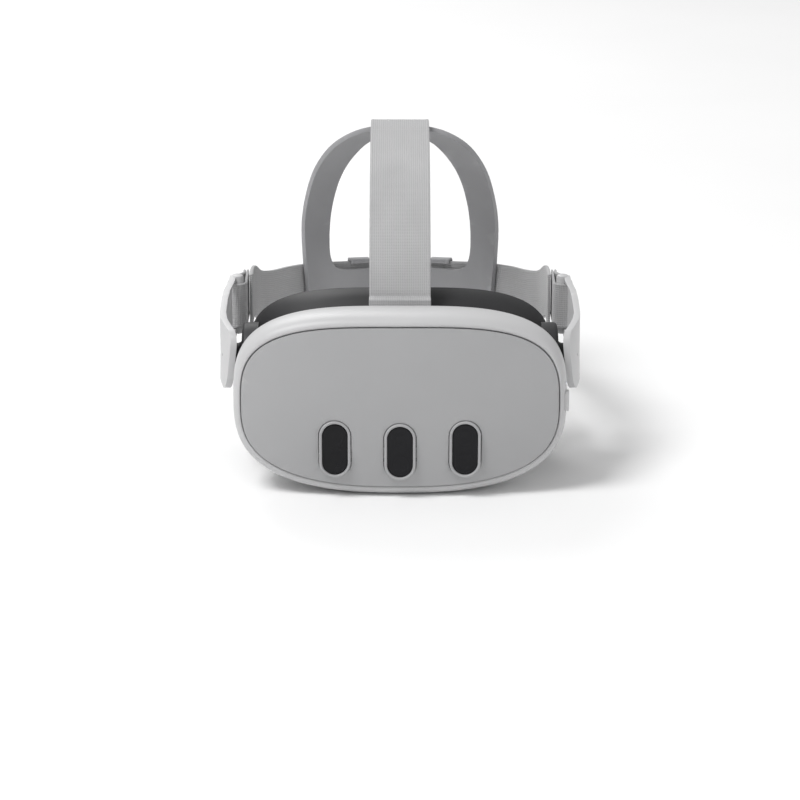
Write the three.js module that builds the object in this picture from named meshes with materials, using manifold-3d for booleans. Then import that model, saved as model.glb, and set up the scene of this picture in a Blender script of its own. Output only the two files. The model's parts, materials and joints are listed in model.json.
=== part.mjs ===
// A stand-alone VR headset with a soft head strap. Millimetres, +Z up, the front plate faces -Y.
// Built around the crown of the front plate: y = 0 there, z = 0 at the visor's mid height,
// +X is the wearer's left. The last lines move the origin to the bottom centre of the box.
import * as THREE from 'three';
import { mergeVertices } from 'three/addons/utils/BufferGeometryUtils.js';
import Module from 'manifold-3d';

const wasm = await Module();
wasm.setup();

// ---- Driving sizes -------------------------------------------------------------------------

const gap = 0.3; // between parts that touch
const slideGap = 0.35; // between parts that slide or turn
const sides = [['left', 1], ['right', -1]];

const visorHalfWidth = 83.5;
const visorHalfHeight = 47.3;
const visorTopPower = 3.2;
const visorBottomPower = 2.75;
const visorDepth = 48;
const visorWall = 2.2;
const outlinePoints = 36;
const bottomFlat = 0.35; // how much of the round underside is planed flat

const rimWidthSide = 4.0;
const rimWidthTop = 5.8;
const rimLedge = 1.8; // shelf behind the front plate
const plateGap = 0.4; // the dark groove round the front plate
const plateThickness = 3.2;
const plateBow = 8; // how far the plate's ends sit behind its crown
const plateCrownBow = 3; // the same from middle to top edge

const windowHalfWidth = 6.25;
const windowHalfHeight = 13.2;
const windowThickness = 1.2;
const windowRecess = 0.5;
const windowSpacing = 32.4;
const windowHeight = -22; // centre of the middle window
const sideWindowLift = 1; // the outer windows sit this much higher
const bezelWidth = 1.5;
const bezelProud = 1.5;
const bezelFlange = 1.4; // thickness of the bezel's hidden flange
const bezelOverhang = 1;
const cameraLensRadius = 4.2;
const cameraDepth = 5;

const boardFront = 15.2;
const boardThickness = 1.2;
const boardHalfWidth = 62;
const boardTop = 30;
const boardBottom = -13;
const coolingDepth = 7.5;
const fanRadius = 15;
const fanHeight = 8;
const fanHub = 5;
const fanBlades = 7;
const finCount = 8;

const lensSpacing = 64; // eye distance at rest
const barrelRadius = 21;
const barrelWall = 1.3;
const barrelFront = 30.5;
const barrelBack = 52;
const displayThickness = 2.4;
const displayHalf = 21;
const lensTravel = 3.5; // each eyepiece moves this far either way
const railHeight = 25;
const railRadius = 1.2;
const railY = 39;
const railHalfLength = 59.5;
const frameFront = 43.4;
const frameThickness = 2;

const wheelRadius = 14;
const wheelThickness = 5;
const wheelX = 33;
const wheelY = 20;
const wheelProud = 1.3;
const wheelRidges = 20;
const pinionRadius = 3;
const pinionTeeth = 8;
const rackThickness = 1.6;
const rackDepth = 2.6;

const buttonHalfLength = 5.5;
const buttonHalfWidth = 2.2;
const buttonProud = 0.8;
const buttonY = 13;
const buttonHeight = 1;
const rockerHalfLength = 11;
const rockerHalfWidth = 2.3;
const rockerX = -28;
const rockerY = 16.4;
const rockerProud = 0.35;

const pivotY = 45;
const pivotHeight = 15;
const pivotRadius = 16.5;
const pivotInner = visorHalfWidth - 12; // |x| where the boss starts, inside the visor
const spigotRadius = 6;

const armFront = 30;
const armThickness = 5.2;
const armCover = 1.7; // thickness of the arm's inner cover
const armLean = 0.11; // the arm's front leans in with height
// How far the arm's outer face stands beyond the visor's half width, along y.
const armFlare = [
  [24, 2.7], [30, 4.3], [38, 6.2], [45, 7.5], [52, 8.5],
  [60, 8.5], [78, 8.5], [88, 7.9], [98, 5.9], [112, 4.5],
];
const armInside = visorHalfWidth - 13.5; // a cut across the arm runs from here
const armOutside = visorHalfWidth + 16.5; // to here
const postRadius = 3.3;
const postX = visorHalfWidth + 1.7;
const postY = 104;
const postBottom = 9;
const postTop = 40.5;
const slotMargin = 3; // height of the struts above and below the strap slot
const speakerLength = 26;
const speakerHeight = 13;
const speakerThickness = 1.7;

const interfaceGap = 2.2; // air between the visor's back and the facial interface
const interfaceHalfWidth = 80;
const interfaceHalfHeight = 43.5;
const interfacePower = 3;
const interfaceWall = 2;
const interfacePoints = 40;
const cushionWidth = 11;
const cushionThickness = 10;
const templeWrap = 14; // how far the temples reach behind the forehead
const cheekWrap = 5;
const noseHalfWidth = 27;
const noseLift = 31;

const strapHeight = 27;
const strapThickness = 2;
const loopThickness = 1.5;
const loopBack = 128;
const strapFront = 112;
const bandHeight = 22;
const bandThickness = 2.4;
const bandHalfWidth = 51;
const archThickness = 2.6;
const sliderHalfLength = 6;
const sliderX = 24;
const sliderThickness = 1.2;
const topStrapWidth = 31.2;
const topStrapThickness = 2;

// ---- Materials -----------------------------------------------------------------------------

const finishes = {
  shell: { color: 0xdcdcdd, roughness: 0.45, metalness: 0 },
  plate: { color: 0xa4a6aa, roughness: 0.4, metalness: 0 },
  dark: { color: 0x25262a, roughness: 0.55, metalness: 0 },
  glass: { color: 0x0b0c0f, roughness: 0.08, metalness: 0 },
  lens: { color: 0x33403f, roughness: 0.05, metalness: 0 },
  metal: { color: 0xb4b6ba, roughness: 0.35, metalness: 1 },
  gold: { color: 0xc9a24a, roughness: 0.3, metalness: 1 },
  board: { color: 0x1d4a34, roughness: 0.6, metalness: 0 },
  foam: { color: 0x1b1b1e, roughness: 0.95, metalness: 0 },
  fabric: { color: 0xc2c2c4, roughness: 0.95, metalness: 0 },
  rubber: { color: 0x9b9ca0, roughness: 0.7, metalness: 0 },
  light: { color: 0xeef2ff, roughness: 0.3, metalness: 0 },
};

const headset = new THREE.Group();

function addPiece(name, solid, finish) {
  const mesh = new THREE.Mesh(toGeometry(solid), new THREE.MeshStandardMaterial(finishes[finish]));
  mesh.name = name;
  headset.add(mesh);
}

// ---- Solids --------------------------------------------------------------------------------

function toSolid(geometry) {
  const bare = new THREE.BufferGeometry();
  bare.setAttribute('position', geometry.getAttribute('position'));
  bare.setIndex(geometry.getIndex());
  const merged = mergeVertices(bare, 1e-4);
  const vertProperties = new Float32Array(merged.getAttribute('position').array);
  const triVerts = new Uint32Array(merged.getIndex().array);
  return new wasm.Manifold(new wasm.Mesh({ numProp: 3, vertProperties, triVerts }));
}

function toGeometry(solid) {
  const mesh = solid.getMesh();
  const geometry = new THREE.BufferGeometry();
  geometry.setAttribute('position', new THREE.BufferAttribute(new Float32Array(mesh.vertProperties), 3));
  geometry.setIndex(new THREE.BufferAttribute(new Uint32Array(mesh.triVerts), 1));
  geometry.computeVertexNormals();
  return geometry;
}

function joined(...solids) {
  return solids.reduce((whole, next) => whole.add(next));
}

function cut(solid, ...tools) {
  return tools.reduce((rest, tool) => rest.subtract(tool), solid);
}

function block([x0, x1], [y0, y1], [z0, z1]) {
  const box = new THREE.BoxGeometry(Math.abs(x1 - x0), y1 - y0, z1 - z0);
  box.translate((x0 + x1) / 2, (y0 + y1) / 2, (z0 + z1) / 2);
  return toSolid(box);
}

// A cylinder or cone frustum along x, y or z, from one end's centre over a signed length.
function rod(axis, start, length, radius, { endRadius = radius, segments = 16 } = {}) {
  const cylinder = new THREE.CylinderGeometry(endRadius, radius, Math.abs(length), segments);
  cylinder.translate(0, Math.abs(length) / 2, 0);
  const turn = { x: [0, 0, -Math.PI / 2], y: [0, 0, 0], z: [Math.PI / 2, 0, 0] }[axis];
  if (length < 0) {
    cylinder.rotateX(Math.PI);
  }
  cylinder.rotateZ(turn[2]);
  cylinder.rotateX(turn[0]);
  cylinder.translate(...start);
  return toSolid(cylinder);
}

function extruded(shape, depth, curveSegments) {
  return new THREE.ExtrudeGeometry(shape, { depth, bevelEnabled: false, curveSegments });
}

// Outline in x and z, thick along y.
function facePrism(shape, [y0, y1], curveSegments = 3) {
  const geometry = extruded(shape, y1 - y0, curveSegments);
  geometry.rotateX(Math.PI / 2);
  geometry.translate(0, y1, 0);
  return toSolid(geometry);
}

// Outline in y and z, thick along x.
function sidePrism(shape, [x0, x1], curveSegments = 3) {
  const from = Math.min(x0, x1);
  const geometry = extruded(shape, Math.abs(x1 - x0), curveSegments);
  const basis = new THREE.Matrix4().makeBasis(
    new THREE.Vector3(0, 1, 0),
    new THREE.Vector3(0, 0, 1),
    new THREE.Vector3(1, 0, 0),
  );
  geometry.applyMatrix4(basis);
  geometry.translate(from, 0, 0);
  return toSolid(geometry);
}

// Outline in x and y, thick along z.
function planPrism(shape, [z0, z1], curveSegments = 3) {
  const geometry = extruded(shape, z1 - z0, curveSegments);
  geometry.translate(0, 0, z0);
  return toSolid(geometry);
}

function roundedBox(centreU, centreV, halfU, halfV, radius) {
  const shape = new THREE.Shape();
  const r = Math.min(radius, halfU, halfV);
  const right = centreU + halfU - r;
  const left = centreU - halfU + r;
  const top = centreV + halfV - r;
  const bottom = centreV - halfV + r;
  shape.absarc(right, top, r, 0, Math.PI / 2);
  shape.absarc(left, top, r, Math.PI / 2, Math.PI);
  shape.absarc(left, bottom, r, Math.PI, 1.5 * Math.PI);
  shape.absarc(right, bottom, r, 1.5 * Math.PI, 2 * Math.PI);
  return shape;
}

function pill(centreU, centreV, halfU, halfV) {
  const shape = new THREE.Shape();
  const r = Math.min(halfU, halfV);
  if (halfU < halfV) {
    shape.absarc(centreU, centreV + halfV - r, r, 0, Math.PI);
    shape.absarc(centreU, centreV - halfV + r, r, Math.PI, 2 * Math.PI);
  } else {
    shape.absarc(centreU + halfU - r, centreV, r, -Math.PI / 2, Math.PI / 2);
    shape.absarc(centreU - halfU + r, centreV, r, Math.PI / 2, 1.5 * Math.PI);
  }
  return shape;
}

// Skin through rings of equal count. A looped list closes on itself, any other gets two flat ends.
function skinned(rings, looped) {
  const count = rings[0].length;
  const points = rings.flat();
  const faces = [];
  const bands = looped ? rings.length : rings.length - 1;
  for (let row = 0; row < bands; row++) {
    const next = (row + 1) % rings.length;
    for (let i = 0; i < count; i++) {
      const j = (i + 1) % count;
      faces.push(row * count + i, next * count + i, next * count + j);
      faces.push(row * count + i, next * count + j, row * count + j);
    }
  }
  if (!looped) {
    capRing(points, faces, 0, count, true);
    capRing(points, faces, (rings.length - 1) * count, count, false);
  }
  if (signedVolume(points, faces) < 0) {
    faces.reverse();
  }
  const geometry = new THREE.BufferGeometry();
  geometry.setFromPoints(points);
  geometry.setIndex(faces);
  return toSolid(geometry);
}

function capRing(points, faces, first, count, isStart) {
  const centre = new THREE.Vector3();
  for (let i = 0; i < count; i++) {
    centre.add(points[first + i]);
  }
  points.push(centre.divideScalar(count));
  for (let i = 0; i < count; i++) {
    const here = first + i;
    const next = first + ((i + 1) % count);
    faces.push(points.length - 1, isStart ? here : next, isStart ? next : here);
  }
}

function signedVolume(points, faces) {
  let volume = 0;
  for (let i = 0; i < faces.length; i += 3) {
    const [a, b, c] = [points[faces[i]], points[faces[i + 1]], points[faces[i + 2]]];
    volume += new THREE.Vector3().crossVectors(a, b).dot(c);
  }
  return volume;
}

// ---- Outlines ------------------------------------------------------------------------------

// Closed outline in x and z, evenly spaced from the top centre round.
function goggleOutline(halfWidth, halfHeight, topPower, bottomPower, count) {
  const fine = 720;
  const outline = [];
  for (let i = 0; i <= fine; i++) {
    const angle = Math.PI / 2 + (i / fine) * 2 * Math.PI;
    const c = Math.cos(angle);
    const s = Math.sin(angle);
    const power = s >= 0 ? topPower : bottomPower;
    const reach = (Math.abs(c) ** power + Math.abs(s) ** power) ** (-1 / power);
    outline.push(new THREE.Vector2(halfWidth * reach * c, halfHeight * reach * s));
  }
  const lengths = [0];
  for (let i = 1; i <= fine; i++) {
    lengths.push(lengths[i - 1] + outline[i].distanceTo(outline[i - 1]));
  }
  const spaced = [];
  for (let k = 0; k < count; k++) {
    const target = (lengths[fine] * k) / count;
    const i = Math.max(1, lengths.findIndex((length) => length >= target));
    const share = (target - lengths[i - 1]) / (lengths[i] - lengths[i - 1]);
    spaced.push(outline[i - 1].clone().lerp(outline[i], share));
  }
  return spaced;
}

function between(list, at) {
  const i = Math.max(1, list.findIndex((entry) => entry[0] >= at));
  const [[from, low], [to, high]] = [list[i - 1], list[i]];
  return low + ((high - low) * (at - from)) / (to - from);
}

const plateHalfWidth = visorHalfWidth - rimWidthSide - plateGap;
const plateHalfHeight = visorHalfHeight - rimWidthTop - plateGap;

// How far the bowed front lies behind the crown at a point of the face.
function frontBow(x, z) {
  return plateBow * (x / plateHalfWidth) ** 2 + plateCrownBow * (z / plateHalfHeight) ** 2;
}

function bowedY(x, y, z) {
  return y + frontBow(x, z) * Math.max(0, 1 - y / visorDepth);
}

// Ring of the visor at a depth, drawn in from the widest outline.
function visorRing(y, insetSide, insetTop = insetSide) {
  const outline = goggleOutline(
    visorHalfWidth - insetSide,
    visorHalfHeight - insetTop,
    visorTopPower,
    visorBottomPower,
    outlinePoints,
  );
  return outline.map((p) => new THREE.Vector3(p.x, bowedY(p.x, y, p.y), p.y));
}

// Shares of the rim's width, and depths, from the groove round to the widest ring.
const rimProfile = [[1.2, 1], [0.6, 0.82], [1.6, 0.5], [4, 0.24], [8, 0.07], [14, 0]];
// Depth and inset of the shell behind its widest ring.
const shellProfile = [[14, 0], [20, 0.5], [28, 2], [37, 5], [44, 9], [visorDepth, 13]];

function shellInset(y) {
  return between(shellProfile, Math.max(y, shellProfile[0][0] + 0.01));
}

// Outer surface of the visor's underside or top at a place, as a z value.
function shellHeight(x, y, sign) {
  const inset = shellInset(y);
  const power = sign > 0 ? visorTopPower : visorBottomPower;
  const share = Math.abs(x) / (visorHalfWidth - inset);
  return sign * (visorHalfHeight - inset) * (1 - share ** power) ** (1 / power);
}

const floorHeight = -(visorHalfHeight - bottomFlat);

// ---- Visor shell and front -----------------------------------------------------------------

function visorOuterRings() {
  const rim = rimProfile.map(([y, share]) => visorRing(y, rimWidthSide * share, rimWidthTop * share));
  const body = shellProfile.slice(1).map(([y, inset]) => visorRing(y, inset));
  return rim.concat(body);
}

function visorHousing() {
  const recessY = plateThickness + 2 * gap;
  const ledgeSide = rimWidthSide + rimLedge;
  const ledgeTop = rimWidthTop + rimLedge;
  const inner = shellProfile.slice(1).reverse().map(([y, inset]) => visorRing(y, inset + visorWall));
  inner.push(visorRing(recessY + 2 * visorWall, visorWall));
  inner.push(visorRing(recessY + visorWall, ledgeSide, ledgeTop));
  inner.push(visorRing(recessY, ledgeSide, ledgeTop));
  inner.push(visorRing(recessY, rimWidthSide, rimWidthTop));
  let housing = skinned(visorOuterRings().concat(inner), true);
  const below = floorHeight - 5;
  housing = cut(housing, block([-visorHalfWidth, visorHalfWidth], [0, visorDepth], [below, floorHeight]));
  for (const [, sign] of sides) {
    const start = sign * (pivotInner - 2);
    const hole = rod('x', [start, pivotY, pivotHeight], sign * 20, pivotRadius + gap, { segments: 32 });
    housing = cut(housing, hole);
  }
  const outside = visorHalfWidth + 5;
  const inside = visorHalfWidth - 10;
  return cut(
    housing,
    sidePrism(powerButtonOutline(slideGap), [inside, outside]),
    sidePrism(usbOutline(gap), [inside, outside]),
    rod('x', [-outside, jackY, jackHeight], outside - inside, jackRadius + gap, { segments: 20 }),
    rod('x', [inside, ledY, ledHeight], outside - inside, ledRadius + gap, { segments: 12 }),
    planPrism(rockerOutline(slideGap), [below, floorHeight + 8]),
    planPrism(contactOutline(gap), [below, floorHeight + 8]),
    block(wheelSpan(slideGap), [wheelY - gap, wheelY + wheelThickness + gap], [below, wheelHeight - 4]),
  );
}

// A plate following the bowed front: rings shrink to the middle, first in front, then behind.
function bowedPlate(y0, y1) {
  const shares = [0.04, 0.52, 1];
  const outline = goggleOutline(plateHalfWidth, plateHalfHeight, visorTopPower, visorBottomPower, outlinePoints);
  const ring = (share, y) => outline.map((p) => {
    const [x, z] = [p.x * share, p.y * share];
    return new THREE.Vector3(x, bowedY(x, y, z), z);
  });
  const front = shares.map((share) => ring(share, y0));
  const back = shares.slice().reverse().map((share) => ring(share, y1));
  return skinned(front.concat(back), false);
}

const windowPlaces = [['left', windowSpacing], ['centre', 0], ['right', -windowSpacing]];

function windowZ(x) {
  return x === 0 ? windowHeight : windowHeight + sideWindowLift;
}

function windowSurface(x) {
  return frontBow(x, windowZ(x));
}

function windowPill(x, margin) {
  return pill(x, windowZ(x), windowHalfWidth + margin, windowHalfHeight + margin);
}

function frontPlate() {
  const holes = windowPlaces.map(([, x]) => facePrism(windowPill(x, bezelWidth + 2 * gap), [-5, 20]));
  return cut(bowedPlate(0, plateThickness), ...holes);
}

function bezelFront(x) {
  return windowSurface(x) - bezelProud;
}

// The hidden flange clears the plate's back where the plate is bowed most.
function bezelFlangeY(x) {
  const farX = Math.abs(x) + windowHalfWidth / 2;
  const lowZ = windowHeight - windowHalfHeight - bezelWidth;
  return frontBow(farX, lowZ) + plateThickness + gap;
}

function cameraBezel(x) {
  const flangeY = bezelFlangeY(x);
  const back = flangeY + bezelFlange;
  const seat = bezelFront(x) + windowRecess + windowThickness + gap;
  const body = joined(
    facePrism(windowPill(x, bezelWidth + gap), [bezelFront(x), back]),
    facePrism(windowPill(x, bezelWidth + bezelOverhang + gap), [flangeY, back]),
  );
  const mouth = facePrism(windowPill(x, gap), [bezelFront(x) - 1, seat]);
  const throat = facePrism(windowPill(x, -bezelWidth), [seat - 1, back + 1]);
  return cut(body, mouth, throat);
}

function cameraWindow(x) {
  const front = bezelFront(x) + windowRecess;
  return facePrism(windowPill(x, 0), [front, front + windowThickness]);
}

function cameraModule(x) {
  const base = bezelFlangeY(x) + bezelFlange + gap;
  const reach = windowHalfHeight / 2;
  const outline = roundedBox(x, windowZ(x), windowHalfWidth, windowHalfHeight, 1.5);
  const body = facePrism(outline, [base, base + cameraDepth]);
  const barrels = [reach, -reach].map((offset) => {
    const start = [x, base + 1, windowZ(x) + offset];
    const length = windowSurface(x) - base;
    return rod('y', start, length, cameraLensRadius, { endRadius: cameraLensRadius - 0.6 });
  });
  return joined(body, ...barrels);
}

function depthProjector() {
  const base = bezelFlangeY(0) + bezelFlange + gap;
  const front = windowSurface(0) + 1;
  const outline = roundedBox(0, windowHeight, windowHalfWidth, windowHalfHeight, 1.5);
  const body = facePrism(outline, [base, base + cameraDepth]);
  const emitter = facePrism(roundedBox(0, windowHeight + 6, 3.6, 3.6, 1), [front, base + 1]);
  const sensor = rod('y', [0, base + 1, windowHeight - 6], front - base - 1, 3.2);
  return joined(body, emitter, sensor);
}

// ---- Ports and buttons ---------------------------------------------------------------------

const jackRadius = 3.2;
const jackY = 24;
const jackHeight = -18;
const ledRadius = 0.9;
const ledY = 13;
const ledHeight = 10;
const usbY = 24.3;
const usbHeight = -18;

function powerButtonOutline(margin) {
  return pill(buttonY, buttonHeight, buttonHalfWidth + margin, buttonHalfLength + margin);
}

function usbOutline(margin) {
  return pill(usbY, usbHeight, 1.9 + margin, 4.9 + margin);
}

function rockerOutline(margin) {
  return pill(rockerX, rockerY, rockerHalfLength + margin, rockerHalfWidth + margin);
}

function contactOutline(margin) {
  return roundedBox(0, rockerY, 7 + margin, 2.4 + margin, 1.2);
}

function powerButton() {
  const face = visorHalfWidth + buttonProud;
  const cap = sidePrism(powerButtonOutline(0), [visorHalfWidth - visorWall, face]);
  const stemReach = [visorHalfWidth - 7, visorHalfWidth - visorWall + 0.2];
  const stem = sidePrism(pill(buttonY, buttonHeight, 1, 2), stemReach, 2);
  return joined(cap, stem);
}

function volumeRocker() {
  const low = shellHeight(rockerX, rockerY, -1) - rockerProud;
  const cap = planPrism(rockerOutline(0), [low, low + visorWall + rockerProud]);
  const stem = block([rockerX - 2, rockerX + 2], [rockerY - 1, rockerY + 1], [low + visorWall, low + 6]);
  return joined(cap, stem);
}

function usbPort() {
  const outer = sidePrism(usbOutline(0), [visorHalfWidth - 9, visorHalfWidth - 2.6]);
  const mouth = sidePrism(usbOutline(-0.5), [visorHalfWidth - 8, visorHalfWidth]);
  const tongueReach = [visorHalfWidth - 8.5, visorHalfWidth - 4];
  const tongue = sidePrism(roundedBox(usbY, usbHeight, 0.4, 3.2, 0.2), tongueReach);
  return joined(cut(outer, mouth), tongue);
}

function audioJack() {
  const start = [-visorHalfWidth + 2.4, jackY, jackHeight];
  const bore = [-visorHalfWidth, jackY, jackHeight];
  return cut(rod('x', start, 9, jackRadius), rod('x', bore, 10, 1.8));
}

function chargingContacts() {
  const plateLow = floorHeight + 0.5;
  const base = planPrism(contactOutline(0), [plateLow, plateLow + 2.5]);
  const pins = [-3.6, 0, 3.6].map((x) => rod('z', [x, rockerY, plateLow + 1], -1.3, 0.9, { segments: 12 }));
  return joined(base, ...pins);
}

function statusLed() {
  return rod('x', [visorHalfWidth - 3, ledY, ledHeight], 2.6, ledRadius, { segments: 12 });
}

// ---- Electronics ---------------------------------------------------------------------------

const coolingFront = boardFront + boardThickness + gap;
const coolingBack = coolingFront + coolingDepth;

function mainBoard() {
  const midHeight = (boardTop + boardBottom) / 2;
  const outline = roundedBox(0, midHeight, boardHalfWidth, (boardTop - boardBottom) / 2, 4);
  const board = facePrism(outline, [boardFront, boardFront + boardThickness], 3);
  const chips = [[-34, 14, 7], [34, 14, 7], [-12, 18, 5], [12, 18, 5]].map(([x, z, half]) => (
    block([x - half, x + half], [boardFront - 1.3, boardFront + 0.2], [z - half, z + half])
  ));
  return joined(board, ...chips);
}

function heatSink() {
  const [x0, x1] = [fanRadius + 4, boardHalfWidth];
  const base = block([x0, x1], [coolingFront, coolingFront + 1.6], [-12, boardTop - 2]);
  const pitch = (x1 - x0 - 1.2) / (finCount - 1);
  const fins = [];
  for (let i = 0; i < finCount; i++) {
    const x = x0 + i * pitch;
    fins.push(block([x, x + 1.2], [coolingFront + 1, coolingBack], [-12, boardTop - 2]));
  }
  return joined(base, ...fins);
}

function fanHousing() {
  const centre = [0, coolingFront, fanHeight];
  const body = rod('y', centre, coolingDepth, fanRadius + 2.4, { segments: 28 });
  const bowl = rod('y', [0, coolingFront + 1, fanHeight], coolingDepth, fanRadius + 0.8, { segments: 28 });
  const outlet = block([0, fanRadius + 3], [coolingFront + 1, coolingBack + 1], [fanHeight - 5, fanHeight + 5]);
  const pin = rod('y', [0, coolingFront + 0.5, fanHeight], 3, 1, { segments: 12 });
  return joined(cut(body, bowl, outlet), pin);
}

function fanRotor() {
  const front = coolingFront + 1 + gap;
  const depth = coolingDepth - 2;
  const hub = rod('y', [0, front, fanHeight], depth, fanHub);
  const blades = [];
  for (let i = 0; i < fanBlades; i++) {
    const blade = new THREE.BoxGeometry(fanRadius - fanHub + 0.5, depth - 0.6, 0.8);
    blade.translate((fanRadius + fanHub) / 2 - 0.25, front + depth / 2, 0);
    blade.rotateY((i / fanBlades) * 2 * Math.PI);
    blade.translate(0, 0, fanHeight);
    blades.push(toSolid(blade));
  }
  return cut(joined(hub, ...blades), rod('y', [0, front - 1, fanHeight], depth, 1 + gap, { segments: 12 }));
}

function battery() {
  const [x0, x1] = [-boardHalfWidth, -fanRadius - 4];
  const outline = roundedBox((x0 + x1) / 2, 0, (x1 - x0) / 2, boardTop - 2, 2);
  return facePrism(outline, [coolingFront, coolingBack], 3);
}

// ---- Lenses and eye distance ---------------------------------------------------------------

const lensX = lensSpacing / 2;
const wheelHeight = shellHeight(wheelX, wheelY, -1) - wheelProud + wheelRadius;
const rackY = [barrelFront, barrelFront + rackDepth];
const rackReach = pinionRadius + 0.2;

function wheelSpan(margin) {
  const depth = wheelHeight - shellHeight(wheelX, wheelY, -1) - visorWall - 1;
  const half = Math.sqrt(wheelRadius ** 2 - depth ** 2) + margin + 1;
  return [wheelX - half, wheelX + half];
}

function toothedDisc(radius, depth, teeth, [y0, y1]) {
  const shape = new THREE.Shape();
  for (let i = 0; i < 2 * teeth; i++) {
    const angle = (i / teeth) * Math.PI;
    const reach = i % 2 ? radius - depth : radius;
    const [u, v] = [wheelX + reach * Math.cos(angle), wheelHeight + reach * Math.sin(angle)];
    if (i === 0) {
      shape.moveTo(u, v);
    } else {
      shape.lineTo(u, v);
    }
  }
  shape.closePath();
  return facePrism(shape, [y0, y1]);
}

function ipdWheel() {
  return joined(
    toothedDisc(wheelRadius, 0.6, wheelRidges, [wheelY, wheelY + wheelThickness]),
    rod('y', [wheelX, wheelY + 1, wheelHeight], rackY[1] - wheelY - 1, 1.6, { segments: 12 }),
    toothedDisc(pinionRadius, 0.7, pinionTeeth, rackY),
  );
}

// Toothed bar along x: direction +1 has its teeth on top, -1 below.
function rack([x0, x1], toothTip, direction) {
  const bar = block([x0, x1], rackY, direction > 0
    ? [toothTip - rackThickness, toothTip - 0.5]
    : [toothTip + 0.5, toothTip + rackThickness]);
  const pitch = (2 * Math.PI * pinionRadius) / pinionTeeth;
  const teeth = [];
  for (let x = x0 + 0.8; x < x1 - 0.8; x += pitch) {
    const z = direction > 0 ? [toothTip - 0.6, toothTip] : [toothTip, toothTip + 0.6];
    teeth.push(block([x - 0.5, x + 0.5], rackY, z));
  }
  return joined(bar, ...teeth);
}

function lensBarrel(sign) {
  const x = sign * lensX;
  const length = barrelBack - barrelFront;
  const tube = rod('y', [x, barrelFront, 0], length, barrelRadius, { segments: 32 });
  const flange = facePrism(roundedBox(x, 0, barrelRadius, barrelRadius, 7), [barrelFront, barrelFront + 2], 3);
  const bosses = [1, -1].map((side) => {
    const z = side * railHeight;
    const wall = railRadius + 1.3;
    const height = side > 0 ? [z - 6, z + wall] : [z - wall, z + 6];
    return block([x - 6, x + 6], [railY - wall, railY + wall], height);
  });
  const solids = [tube, flange, ...bosses];
  if (sign > 0) {
    const tip = wheelHeight + rackReach;
    solids.push(rack([wheelX - lensTravel - 4, wheelX + lensTravel + 4], tip, -1));
    solids.push(block([x - 4, x + 4], rackY, [tip + 0.5, -barrelRadius + 2]));
  } else {
    const tip = wheelHeight - rackReach;
    solids.push(rack([x - 4, wheelX + lensTravel + 2], tip, 1));
    solids.push(block([x - 4, x + 4], rackY, [tip - rackThickness, -barrelRadius + 2]));
  }
  const bore = rod('y', [x, barrelFront - 1, 0], length + 2, barrelRadius - barrelWall, { segments: 32 });
  const railBores = [1, -1].map((side) => (
    rod('x', [x - 20, railY, side * railHeight], 40, railRadius + slideGap, { segments: 12 })
  ));
  return cut(joined(...solids), bore, ...railBores);
}

// Thick lens, turned about the eye's axis, domed on both sides.
function eyepiece(sign) {
  const radius = barrelRadius - barrelWall - gap;
  const [front, back] = [barrelBack - 7, barrelBack - 2];
  const profile = [];
  const steps = 3;
  for (let i = 0; i <= steps; i++) {
    const r = (radius * i) / steps;
    profile.push(new THREE.Vector2(r, front - 2 + 2 * (i / steps) ** 2));
  }
  for (let i = steps; i >= 0; i--) {
    const r = (radius * i) / steps;
    profile.push(new THREE.Vector2(r, back + 1.5 - 1.5 * (i / steps) ** 2));
  }
  profile[0].x = 0;
  profile[profile.length - 1].x = 0;
  const lens = new THREE.LatheGeometry(profile, 28);
  lens.translate(sign * lensX, 0, 0);
  return toSolid(lens);
}

function displayPanel(sign) {
  const back = barrelFront - gap;
  const outline = roundedBox(sign * lensX, 0, displayHalf, displayHalf, 6);
  return facePrism(outline, [back - displayThickness, back], 3);
}

function lensRail(side) {
  return rod('x', [-railHalfLength, railY, side * railHeight], 2 * railHalfLength, railRadius, { segments: 12 });
}

const tongueSpan = [61.4, 64.6];
const tongueHalfHeight = 4;
const screwPlaces = [[46, 26.6], [-46, 26.6], [46, -26.6], [-46, -26.6]];

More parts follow.
